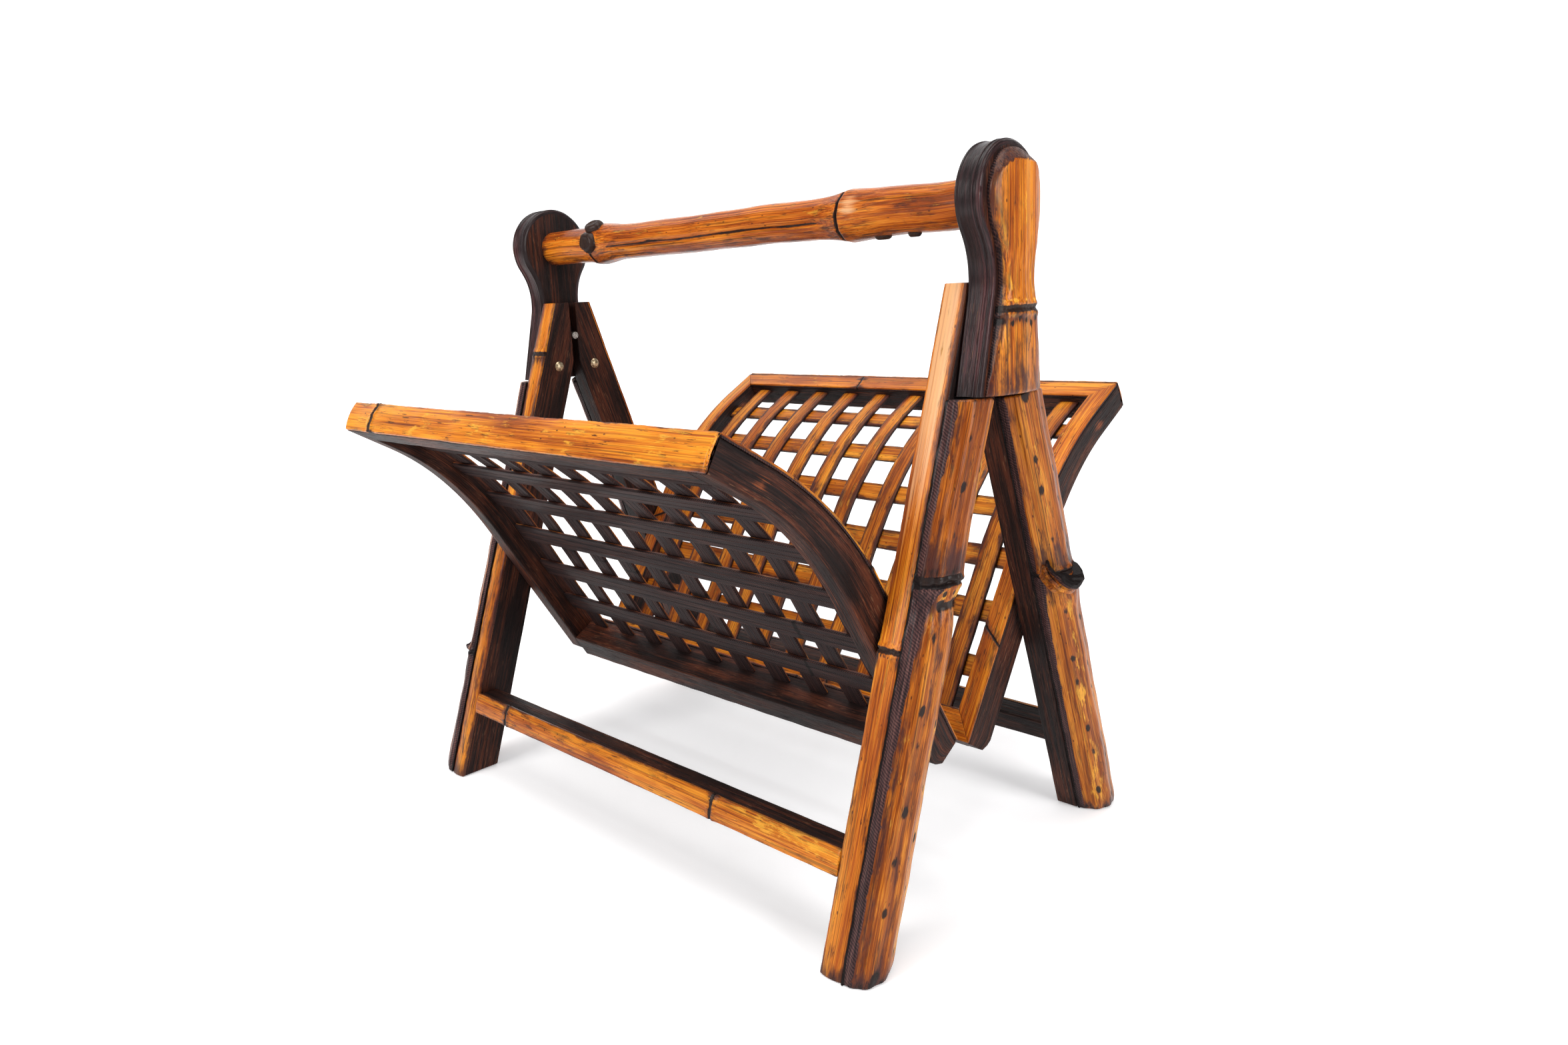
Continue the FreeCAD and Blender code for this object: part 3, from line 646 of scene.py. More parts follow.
def stations(start: float, end: float, step: float, fine: Sequence[float] = (), corner: float = 0.8) -> Array:
    """Places along a bar where its outline is set down.

    Args:
        start: one end.
        end: the other end.
        step: usual distance between places.
        fine: places with detail around them, which get closer places.
        corner: how much of each end is rounded.

    Returns:
        The places in order.
    """
    places = list(np.arange(start, end, step)) + [end]
    for share in (0.0, 0.08, 0.3, 0.6, 1.0):
        places += [start + corner * share, end - corner * share]
    for middle in fine:
        places += [at for at in np.arange(middle - NODE_REACH, middle + NODE_REACH, NODE_STEP) if start < at < end]
    ordered = np.unique(np.round(places, 4))
    keep = np.concatenate([[True], np.diff(ordered) > 0.02])
    return ordered[keep]


# Of these channels, the one for burns also holds painted shade in the gap behind each culm, the one for stains also
# holds painted shade on the pole's underside, and the one for pale pinkish patches is a painted highlight.
PAINTS: dict[str, float] = {"skin": 1.0, "char": 0.0, "stain": 0.0, "wear": 0.0, "faded": 0.0}  # and what is usual


@dataclass
class Stock:
    """Points, faces and painted values of one piece while it is being made."""

    seed: float = 0.0
    points: list[Array] = field(default_factory=list)
    straight: list[Array] = field(default_factory=list)
    faces: list[tuple[int, ...]] = field(default_factory=list)
    paint: dict[str, list[Array]] = field(default_factory=lambda: {n: [] for n in PAINTS})
    count: int = 0

    def add_grid(self, points: Array, straight: Array, paint: Paint) -> None:
        """Add a closed bar.

        Args:
            points: places as (stations, outline points, 3), in millimetres.
            straight: the same points as if the piece lay straight.
            paint: painted values, by name, as (stations, outline points).
        """
        rows, ring = points.shape[:2]
        index = np.arange(rows * ring).reshape(rows, ring) + self.count
        following = np.roll(index, -1, 1)
        quads = np.stack([index[:-1], following[:-1], following[1:], index[1:]], -1).reshape(-1, 4)
        self.faces += [tuple(int(i) for i in quad) for quad in quads]
        self.faces += [tuple(int(i) for i in end) for end in (index[0][::-1], index[-1])]
        self.points.append(points.reshape(-1, 3))
        self.straight.append(straight.reshape(-1, 3) + self.seed * 137.0 + self.count * 0.013)
        for name, kept in self.paint.items():
            value = paint.get(name, np.full((rows, ring), PAINTS[name]))
            kept.append(np.broadcast_to(value, (rows, ring)).reshape(-1))
        self.count += rows * ring

    def sweep(self, outline: Array, run: Array, place: Callable[[Array, Array, Array], Array],
              lift: Callable[[Array, Array, Array], Array] | None = None,
              paint: Callable[[Array, Array, Array], Paint] | None = None, corner: float = 0.8) -> None:
        """Carry an outline along a run of places.

        Args:
            outline: the closed outline, as (a, b).
            run: the places along the bar.
            place: gives the point in the row frame for along, a and b.
            lift: how far the surface stands out from the outline, for along, a and b.
            paint: painted values for along, a and b.
            corner: how much of each end is rounded.
        """
        normals = outline_normals(outline)
        along = np.repeat(run[:, None], len(outline), 1)
        a, b = (np.repeat(outline[None, :, axis], len(run), 0) for axis in (0, 1))
        stand = lift(along, a, b) if lift else np.zeros_like(a)
        from_end = np.minimum(run - run[0], run[-1] - run)
        near = np.clip(corner - from_end, 0.0, corner)
        drop = corner - np.sqrt(np.maximum(corner ** 2 - near ** 2, 0.0))
        shown = stand - drop[:, None]
        values = paint(along, a, b) if paint else {}
        a, b = a + normals[None, :, 0] * shown, b + normals[None, :, 1] * shown
        self.add_grid(place(along, a, b), np.stack([a, b, along], -1), values)

    def piece(self, body: str, slot: str, material: bpy.types.Material, *nodes: str) -> None:
        """Turn the stock into a finished piece of the rack.

        Args:
            body: the CAD body that it rides on.
            slot: the record's material slot; not used.
            material: its finish.
            nodes: the CAD nodes that it stands for, the first of which gives its name.
        """
        name = f"{nodes[0]}_shaped"
        mesh = bpy.data.meshes.new(name)
        mesh.from_pydata((np.concatenate(self.points) * MM).tolist(), [], self.faces)
        shaping = bmesh.new()
        shaping.from_mesh(mesh)
        bmesh.ops.recalc_face_normals(shaping, faces=shaping.faces)
        shaping.to_mesh(mesh)
        shaping.free()
        lay = mesh.attributes.new("straight", "FLOAT_VECTOR", "POINT")
        lay.data.foreach_set("vector", (np.concatenate(self.straight) * MM).astype(np.float32).ravel())
        for key, kept in self.paint.items():
            layer = mesh.attributes.new(key, "FLOAT", "POINT")
            layer.data.foreach_set("value", np.concatenate(kept).astype(np.float32))
        mesh.polygons.foreach_set("use_smooth", [True] * len(mesh.polygons))
        mesh.set_sharp_from_angle(angle=math.radians(SHARP_ANGLE))
        mesh.materials.append(material)
        made = bpy.data.objects.new(name, mesh)
        bpy.context.scene.collection.objects.link(made)
        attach(made, body)
        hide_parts(*nodes)
        LOG.info("%s: %d points on %s", name, self.count, body)


@dataclass
class RackSizes:
    """Sizes that several sub-assemblies share, in millimetres and degrees; most are measured from the frame."""

    inner_face: float = 187.0
    board: float = 15.2
    side_play: float = 0.3
    post_core: float = 15.8
    leg_slant: float = 18.97
    leg_width: float = 30.3
    pivot_spread: float = 17.2
    pivot_height: float = 308.0
    pivot_inset: float = 17.24
    leg_top: float = 357.6
    leg_top_gap: float = 3.0
    post_bottom: float = 297.7
    handle_height: float = 400.0

    @property
    def board_outer(self) -> float:
        """Outer face of a leg's board."""
        return self.inner_face + self.board

    @property
    def post_inner(self) -> float:
        """Inner face of a post."""
        return self.board_outer + self.side_play

    @property
    def post_outer(self) -> float:
        """Outer face of a post's core."""
        return self.post_inner + self.post_core

    @property
    def slant(self) -> float:
        """Slant of a leg from upright, in radians."""
        return math.radians(self.leg_slant)

    def measure(self, frame: dict[str, Any]) -> None:
        """Take the sizes that the loaded frame shows.
        """
        board_low, board_high = (corner * 1000.0 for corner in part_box("front_right_leg_board"))
        core_low, core_high = (corner * 1000.0 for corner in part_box("right_post_core"))
        pivot = next(joint for joint in frame["record"]["behaviour"]["joints"] if joint["name"] == "front_legs_fold")
        self.inner_face = board_low.x
        self.board = board_high.x - board_low.x
        self.side_play = core_low.x - board_high.x
        self.post_core = core_high.x - core_low.x
        self.leg_top = board_high.z
        self.leg_top_gap = -board_high.y
        self.post_bottom = core_low.z
        self.pivot_spread = -pivot["pos_m"][1] * 1000.0
        self.pivot_height = pivot["pos_m"][2] * 1000.0

    def leg_edge(self, height: Array | float) -> Array | float:
        """Distance of a leg's outward edge from the middle, at a height; negative is the front."""
        tangent, cosine = math.tan(self.slant), math.cos(self.slant)
        reach = self.pivot_spread + self.pivot_inset / cosine + self.pivot_height * tangent
        return -reach + height * tangent


SIZES = RackSizes()


@dataclass(frozen=True)
class CulmDetail:
    """What sets one leg's bamboo apart from the others."""

    culm_nodes: tuple[float, ...]
    strip_nodes: tuple[float, ...]
    stub_height: float | None = None
    stub_size: float = 1.0
    stub_lean: float = 0.0
    notch: bool = False
    # Strength of the painted highlight on the upper part of the leg's strip.
    faded: float = 0.2
    stained: float = 0.0


@dataclass
class LegPair:
    """The front or the rear legs with their stretcher."""

    name: str
    row: int
    details: dict[str, CulmDetail]
    finishes: dict[str, bpy.types.Material]
    strip_depth: float = 3.5
    strip_crown: float = 1.0
    culm_wall: float = 4.5
    culm_crown: float = 13.5
    sawn: float = 7.0
    culm_top: float = 297.2
    fold_clear: float = 19.47
    stretcher_height: float = 48.7
    stretcher_tall: float = 15.4
    stretcher_depth: float = 16.5
    stretcher_nodes: tuple[float, ...] = (-144.0, 85.0)

    @property
    def body(self) -> str:
        """The CAD body that the pieces ride on."""
        return f"{self.name}_legs"

    def on_leg(self, side: int) -> Callable[[Array, Array, Array], Array]:
        """How a leg's bars lie in the row frame.

        Args:
            side: -1 for the left leg and 1 for the right.

        Returns:
            A function of height, distance in from the outward edge, and x.
        """

        def place(height: Array, inset: Array, out: Array) -> Array:
            """Point on the leg."""
            y = SIZES.leg_edge(height) + inset / math.cos(SIZES.slant)
            return np.stack([side * out, -self.row * y, height], -1)

        return place

    def board(self, side: int, side_name: str) -> None:
        """The dark inner board, upright at its top edge.

        Args:
            side: -1 for the left and 1 for the right.
            side_name: "left" or "right".
        """
        stock = Stock(seed=1.0 + side * 0.3 + self.row * 0.7)
        outline = rounded_outline([(self.strip_depth - 0.3, SIZES.inner_face), (SIZES.leg_width, SIZES.inner_face),
                                   (SIZES.leg_width, SIZES.board_outer),
                                   (self.strip_depth - 0.3, SIZES.board_outer)], 0.9, 3.0)
        leg = self.on_leg(side)
        cosine = math.cos(SIZES.slant)

        def place(height: Array, inset: Array, out: Array) -> Array:
            """Point on the board, held back at the upright edge."""
            limit = (-SIZES.leg_top_gap - SIZES.leg_edge(height)) * cosine
            return leg(height, np.minimum(inset, limit), out)

        def lift(height: Array, inset: Array, out: Array) -> Array:
            """Hand-planed waviness."""
            return -0.12 + wobble(height + inset * 3, stock.seed, 61.0, 0.12)

        def paint(height: Array, inset: Array, out: Array) -> Paint:
            """Sooty along the edges and reddish in the middle."""
            edge = 1.0 - soft_step(np.minimum(inset - self.strip_depth, SIZES.leg_width - inset), 0.0, 4.0)
            wear = 0.08 + wobble(height, stock.seed + 3, 120.0, 0.16)
            return {"char": edge * 0.3, "wear": wear - edge * 0.3}

        run = stations(0.0, SIZES.leg_top, 6.0, corner=1.0)
        stock.sweep(outline, run, place, lift, paint, corner=1.0)
        stock.piece(self.body, "dark_wood", self.finishes["dark_wood"], f"{self.name}_{side_name}_leg_board")

    def strip(self, side: int, side_name: str) -> None:
        """The amber strip on the leg's outward edge, with its crown, nodes and worn arrises.

        Args:
            side: -1 for the left and 1 for the right.
            side_name: "left" or "right".
        """
        stock = Stock(seed=2.0 + side * 0.41 + self.row * 0.9)
        nodes = self.details[side_name].strip_nodes
        across = np.linspace(-1.0, 1.0, 15)
        half = SIZES.board / 2
        middle = SIZES.inner_face + half
        crown = [(self.strip_crown * (1 - 0.999 * (1 - t * t)), middle + t * (half - 0.1)) for t in across]
        back = [(self.strip_depth, middle + t * half) for t in (1.0, 0.33, -0.33, -1.0)]
        outline = rounded_outline(crown + back, 0.7, 3.0)

        def lift(height: Array, inset: Array, out: Array) -> Array:
            """Node rings, soft waves and a few dents."""
            front = inset < self.strip_depth - 0.4
            raised = rings(height, out, nodes, 11.0, 0.7, 0.85)
            rough_edge = wobble(height, stock.seed, 9.0, 0.18) * (np.abs(out - middle) > half - 1.6)
            return np.where(front, raised - 0.10 + wobble(height, stock.seed, 83.0, 0.12) - np.abs(rough_edge), 0.0)

        def paint(height: Array, inset: Array, out: Array) -> Paint:
            """Dark rings, stained upper edge, pin marks and a painted highlight on the upper part."""
            edge = soft_step(np.abs(out - middle), half - 2.4, half - 0.2)
            outer = soft_step(out - middle, half - 5.5, half - 0.6)
            ragged = wobble(out, stock.seed, 6.0, 0.9)
            teeth = 0.5 + 0.5 * np.cos(out * 3.4 + 1.0)
            ring = 1.25 * bells(height, nodes, 1.8, ragged * 0.4) + 0.8 * teeth * bells(height, nodes, 1.1, -3.4)
            below = bells(height, nodes, 3.0, ragged - 4.0)
            upper = soft_step(height, 150.0, 330.0)
            stain = 0.34 * edge + 0.60 * outer * upper + 0.40 * below + wobble(height, stock.seed, 47.0, 0.12)
            stain = stain + 0.16 * (1 - soft_step(height, nodes[0] - 90.0, nodes[0])) + \
                self.details[side_name].stained
            # Painted highlight on the strip's upper part, weaker towards both of its edges.
            faded = self.details[side_name].faded * upper * (1 - 0.8 * outer) * (1 - bell(out - middle, -half, 1.6))
            foot = bell(height, 0.0, 7.0)
            back = inset > self.strip_depth - 0.4
            return {"skin": np.where(back, 0.0, 1.0 - 0.25 * edge), "char": ring * 0.95 + foot * 0.35,
                    "stain": stain + foot * 0.5, "faded": faded,
                    "wear": 0.10 * upper + wobble(height, 4.4, 90.0, 0.12)}

        run = stations(0.0, SIZES.leg_top, 3.0, nodes, corner=0.7)
        stock.sweep(outline, run, self.on_leg(side), lift, paint, corner=0.7)
        stock.piece(self.body, "bamboo_strip", self.finishes["bamboo_strip"], f"{self.name}_{side_name}_leg_strip")

    def culm(self, side: int, side_name: str) -> None:
        """The half culm outside the leg: facets, ridges, node and saw-cut sides.

        Args:
            side: -1 for the left and 1 for the right.
            side_name: "left" or "right".
        """
        detail = self.details[side_name]
        stock = Stock(seed=3.0 + side * 0.37 + self.row * 1.3)
        half = SIZES.leg_width / 2
        radius = (half ** 2 + self.culm_crown ** 2) / (2 * self.culm_crown)
        centre = SIZES.board_outer + self.culm_wall + self.culm_crown - radius
        turn = np.linspace(-1.0, 1.0, 49) * math.asin(half / radius)
        facets = 5
        shape = []
        low = SIZES.board_outer
        for angle in turn:
            share = (angle + math.pi / 2) / (math.pi / facets)
            flat = math.cos(math.pi / (2 * facets)) / math.cos((share % 1.0 - 0.5) * math.pi / facets)
            reach = radius * (0.45 + 0.55 * flat)
            out = centre + reach * math.cos(angle)
            if angle < 0:
                top = low + self.culm_wall + self.culm_crown
                flare = math.sqrt(max(1 - (math.sin(angle) / math.sin(turn[-1])) ** 2, 0.0))
                out = max(out, low + self.sawn + (top - low - self.sawn) * flare - 0.3)
            shape.append((half + reach * math.sin(angle), out))
        side_points = 6
        outline_points = [(0.0, low + self.sawn * t / side_points) for t in range(side_points)]
        outline_points += shape
        outline_points += [(2 * half, low + self.culm_wall * t / 4) for t in range(3, -1, -1)]
        outline_points += [(2 * half * t, low) for t in (0.75, 0.5, 0.25)]
        outline = np.array(outline_points)
        tangent, cosine = math.tan(SIZES.slant), math.cos(SIZES.slant)
        clear = math.radians(self.fold_clear)
        level = SIZES.pivot_height - (SIZES.pivot_height - self.culm_top) / math.cos(clear)
        leg = self.on_leg(side)

        def place(height: Array, inset: Array, out: Array) -> Array:
            """Point on the culm, cut off under the post."""
            start = SIZES.leg_edge(0.0) + inset / cosine
            slope = math.tan(clear)
            folded = (level - slope * (start + SIZES.pivot_spread)) / (1 + slope * tangent)
            limit = np.minimum(folded, self.culm_top) - 0.3
            return leg(height * np.minimum(limit / self.culm_top, 1.0), inset, out)

        def lift(height: Array, inset: Array, out: Array) -> Array:
            """Long ridges, swelling at the node, and the dip below it."""
            skin = soft_step(out, low + 1.5, low + self.culm_wall + 1.0)
            angle = np.arctan2(inset - half, out - centre)
            ridges = 0.48 * np.cos(angle * 9.0 + wobble(height, stock.seed, 140.0, 0.8)) - 0.25
            swell = rings(height, angle * 9, detail.culm_nodes, 14.0, 0.8, 1.15)
            waist = -1.6 * bells(height, detail.culm_nodes, 9.0, -13.0)
            waist -= 0.8 * bells(height, detail.culm_nodes, 30.0, 40.0)
            saw = wobble(height * 1.0 + out * 2.0, stock.seed, 7.0, 0.16) + wobble(height, stock.seed, 31.0, 0.3)
            foot = -0.9 * bell(height, 0.0, 3.5)
            notch = 0.0 * height
            if detail.stub_height is not None:
                waist = 2.2 * bell(height, detail.stub_height - 12.0, 9.0) * bell(angle, 0.0, 0.7)
            if detail.notch:
                at = detail.culm_nodes[0]
                waist = waist - 1.5 * bell(height, at - 11.5, 2.4) * soft_step(inset, 5.0, 8.0)
                cut = soft_step(height, at - 1.0, at + 0.2) * (1 - soft_step(height, at + 4.0, at + 5.0))
                across = soft_step(inset, 1.0, 2.5) * (1 - soft_step(inset, 15.0, 17.0))
                notch = -1.5 * cut * across
            return skin * (ridges + swell + waist + notch + foot + wobble(height, stock.seed, 95.0, 0.35)) + \
                (1 - skin) * (saw - 0.45)

        def paint(height: Array, inset: Array, out: Array) -> Paint:
            """Saw-cut sides, burnt spots in a row, scorched node, yellow ridges, and painted shade along the back where
            the culm meets the board and strip.
            """
            node = detail.culm_nodes[0]
            under = np.maximum(node - height, 0.0)
            width = np.where(height < node, 6.4 + 4.0 * np.exp(-under / 70.0) + 5.5 * np.exp(-under / 14.0),
                             4.6 + 3.4 * soft_step(height, node + 20.0, 290.0))
            width = width + wobble(height, stock.seed, 23.0, 0.7)
            near_side = np.where(inset < half, width, 2.5 + 0.4 * width)
            skin = soft_step(out - low, near_side, near_side + 1.0)
            angle = np.arctan2(inset - half, out - centre)
            char = 0.0 * height
            stain = 0.36 * (1 - soft_step(out - low, near_side, near_side + 3.0)) + \
                0.10 * (1 - soft_step(height, 10.0, 120.0))
            for number, at in enumerate(np.arange(14.0, self.culm_top, 27.0)):
                jitter = 5.0 * math.sin(number * 2.7 + stock.seed * 8)
                for line, size in ((0.12 + 0.55 * self.row - 0.10, 1.0), (0.35 - 0.65 * max(self.row, 0), 0.75)):
                    place_on = line + 0.06 * math.sin(number * 5.0)
                    spot = bell(height, at + jitter + line * 9, 3.6 * size) * bell(angle, place_on, 0.15 * size)
                    char = char + (0.80 + 0.25 * math.sin(number * 3.1 + line)) * spot
            for at in detail.culm_nodes:
                ragged = wobble(angle * 9, at, 8.0, 1.0)
                char = char + 1.1 * bell(height, at + ragged * 0.6, 1.7) + 0.40 * bell(height, at + 6 + ragged, 5.0)
                stain = stain + 0.55 * bell(height, at + 10.0, 12.0) + 0.35 * bell(height, at - 9.0, 8.0)
            lip = 0.0 * height
            if detail.notch:
                at = detail.culm_nodes[0]
                char = char + 1.0 * soft_step(height, at - 0.8, at) * (1 - soft_step(height, at + 3, at + 5)) \
                    * (1 - soft_step(inset, 16.0, 20.0))
                lip = soft_step(height, at - 8.8, at - 7.6) * (1 - soft_step(height, at - 2.0, at - 1.0)) \
                    * soft_step(inset, 4.0, 6.0)
                char = char * (1 - 0.9 * lip) + 1.2 * bell(height, at - 11.5, 2.4) * soft_step(inset, 5.0, 8.0)
                char = char + 1.1 * bell(height, at - 4.8, 1.5) * (bell(inset, 9.0, 1.4) + bell(inset, 15.0, 1.1))
            valley = np.clip(-np.cos(angle * 9.0 + wobble(height, stock.seed, 140.0, 0.8)), 0.0, 1.0) ** 2
            patchy = soft_step(wobble(height, 2.0, 60.0, 1.0), -0.2, 0.5)
            stain = stain + 0.34 * valley + 0.34 * bell(angle, -0.15, 0.12) * patchy + 0.14 * (angle < -0.35)
            foot = bell(height, 0.0, 9.0)
            outer = soft_step(angle, 0.05, 0.45) * (1 - soft_step(height, node - 30.0, node))
            wear = 0.26 * bell(angle, 0.45, 0.25) + 0.16 * outer + 0.2 * bell(angle, -0.95, 0.2) + \
                wobble(height, 1.2, 80.0, 0.2) + 0.35 * lip
            stain = stain * (1 - 0.7 * outer) * (1 - 0.8 * lip)
            top = soft_step(height, self.culm_top - 5.0, self.culm_top)
            # Painted shade: black along the culm's back and the foot of its sawn sides, in the gap where it meets the
            # board and strip.
            char = char + 0.9 * (1 - soft_step(out - low, 0.8, 2.0))
            return {"skin": skin, "char": char + foot * 0.45 + top * 0.4, "stain": stain + foot * 0.5,
                    "wear": wear}

        run = stations(0.0, self.culm_top, 2.2, detail.culm_nodes, corner=1.2)
        stock.sweep(outline, run, place, lift, paint, corner=1.2)
        if detail.stub_height is not None:
            self.stub(stock, side, detail.stub_height, detail.stub_size, detail.stub_lean)
        stock.piece(self.body, "bamboo_culm", self.finishes["bamboo_culm"], f"{self.name}_{side_name}_leg_culm")

    def stub(self, stock: Stock, side: int, height: float, size: float, lean: float) -> None:
        """The charred, cup-like rest of a branch at a node.

        Args:
            stock: the culm's stock, which the stub is added to.
            side: -1 for the left leg and 1 for the right.
            height: height of the node.
            size: how large the cup is.
            lean: how far it sits from the culm's middle line, towards the rack's middle.
        """
        rise = math.radians(38.0)
        out = np.array([side * math.cos(rise), 0.0, math.sin(rise)])
        up = np.array([-side * math.sin(rise), 0.0, math.cos(rise)])
        level = np.array([0.0, 1.0, 0.0])
        middle_y = float(SIZES.leg_edge(height)) + SIZES.leg_width / 2 / math.cos(SIZES.slant)
        root = np.array([side * (SIZES.board_outer + self.culm_wall + self.culm_crown - 9.5),
                         -self.row * (middle_y + lean), height - 5.0])
        profile = [(0.0, 9.0), (2.0, 9.4), (4.0, 10.0), (5.6, 11.2), (6.6, 11.7), (7.6, 11.2), (8.4, 10.3),
                   (9.4, 10.6), (10.6, 11.3), (11.8, 11.6), (12.8, 10.9), (12.2, 9.8), (10.4, 8.6), (9.2, 6.6),
                   (8.6, 3.0)]
        turns = np.linspace(0.0, 2 * math.pi, 40, endpoint=False)
        rows, straight, char, skin = [], [], [], []
        for number, (along, radius) in enumerate(profile):
            reach = radius * size
            rim = 1.0 if 8 <= number <= 12 else 0.25
            ragged = rim * (0.9 * np.sin(turns * 3 + 1.0) + 0.6 * np.sin(turns * 7 + 2.0) + 0.3 * np.sin(turns * 13))
            slant = 2.2 * np.cos(turns) * rim
            spread = reach * (1.0 + 0.05 * np.sin(turns * 2 + 0.5))
            distance = (along + ragged * 0.8 - slant)[:, None]
            ring = root + out * distance + (spread * np.cos(turns))[:, None] * up + \
                (spread * np.sin(turns))[:, None] * level
            limit = SIZES.board_outer + self.culm_wall + self.culm_crown + 8.7
            ring[:, 0] = side * np.minimum(side * ring[:, 0], limit)
            rows.append(ring)
            straight.append(np.stack([reach * np.cos(turns), reach * np.sin(turns), distance[:, 0]], -1))
            char.append(np.full(len(turns), 1.0 if number > 9 else 0.5 if number in (6, 9) else 0.0))
            skin.append(np.full(len(turns), 1.0 if number < 8 else 0.0))
        stock.add_grid(np.array(rows), np.array(straight), {"char": np.array(char), "skin": np.array(skin),
                                                            "stain": np.full((len(rows), len(turns)), 0.3)})

    def stretcher(self) -> None:
        """The bar between the legs: a dark core and its bamboo face."""
        cosine, sine = math.cos(SIZES.slant), math.sin(SIZES.slant)
        tall, depth, face = self.stretcher_tall, self.stretcher_depth, self.strip_depth

        def place(along: Array, rise: Array, inset: Array) -> Array:
            """Point on the stretcher, for x, distance up the leg, and depth in from the edge."""
            edge = SIZES.leg_edge(self.stretcher_height) + inset / cosine
            shift = inset * (cosine - 1 / cosine)
            y = edge + rise * sine + shift
            z = self.stretcher_height + rise * cosine - inset * sine
            return np.stack([along, -self.row * y, z], -1)

        reach = SIZES.inner_face - 0.05
        core = Stock(seed=4.0 + self.row)
        level = (depth - face) * math.tan(SIZES.slant) if self.row < 0 else 0.0
        outline = rounded_outline([(0.0, face), (tall, face), (tall + level, depth), (0.0, depth)], 0.9, 3.0)
        core.sweep(outline, stations(-reach, reach, 7.0), place,
                   lambda s, a, b: -0.08 + wobble(s, 1.7, 70.0, 0.1),
                   lambda s, a, b: {"wear": 0.02 + wobble(s, 2.9, 80.0, 0.10)})
        core.piece(self.body, "dark_wood", self.finishes["dark_wood"], f"{self.name}_stretcher_core")

        half = tall / 2
        front = [(half + t * (half - 0.1), self.strip_crown * t * t) for t in np.linspace(-1.0, 1.0, 15)]
        back = [(half + t * half, face) for t in (1.0, 0.33, -0.33, -1.0)]
        outline = rounded_outline(front + back, 0.7, 3.0)
        skin = Stock(seed=5.0 + self.row * 1.1)

        def lift(along: Array, rise: Array, inset: Array) -> Array:
            """Node rings and soft waves."""
            shown = inset < face - 0.4
            raised = rings(along, rise, self.stretcher_nodes, 12.0, 0.8, 0.5)
            return np.where(shown, raised - 0.12 + wobble(along, skin.seed, 66.0, 0.12), 0.0)

        def paint(along: Array, rise: Array, inset: Array) -> Paint:
            """Yellow worn patches, dark rings and stained edges."""
            edge = soft_step(np.abs(rise - half), half - 2.2, half - 0.2)
            ragged = wobble(rise, skin.seed, 7.0, 0.8)
            char = 1.2 * bells(along, self.stretcher_nodes, 1.4, ragged * 0.4)
            stain = 0.4 * bells(along, self.stretcher_nodes, 5.0) + 0.22 * (1 - soft_step(along, -60.0, 70.0))
            patch = 0.42 * soft_step(along, 96.0, 108.0) * soft_step(rise, 0.3 * tall, 0.55 * tall) + \
                0.16 * soft_step(wobble(along, 3.3 + self.row, 110.0, 1.0), 0.05, 0.6)
            return {"skin": np.where(inset > face - 0.4, 0.0, 1 - 0.3 * edge), "char": char,
                    "stain": stain + 0.4 * edge + wobble(along + rise * 2, 7.1, 37.0, 0.12), "wear": patch}

        skin.sweep(outline, stations(-reach, reach, 3.0, self.stretcher_nodes), place, lift, paint)
        skin.piece(self.body, "bamboo_strip", self.finishes["bamboo_strip"], f"{self.name}_stretcher_face")

    def build(self) -> None:
        """Make both legs and the stretcher."""
        for side, side_name in SIDES:
            self.board(side, side_name)
            self.strip(side, side_name)
            self.culm(side, side_name)
        self.stretcher()


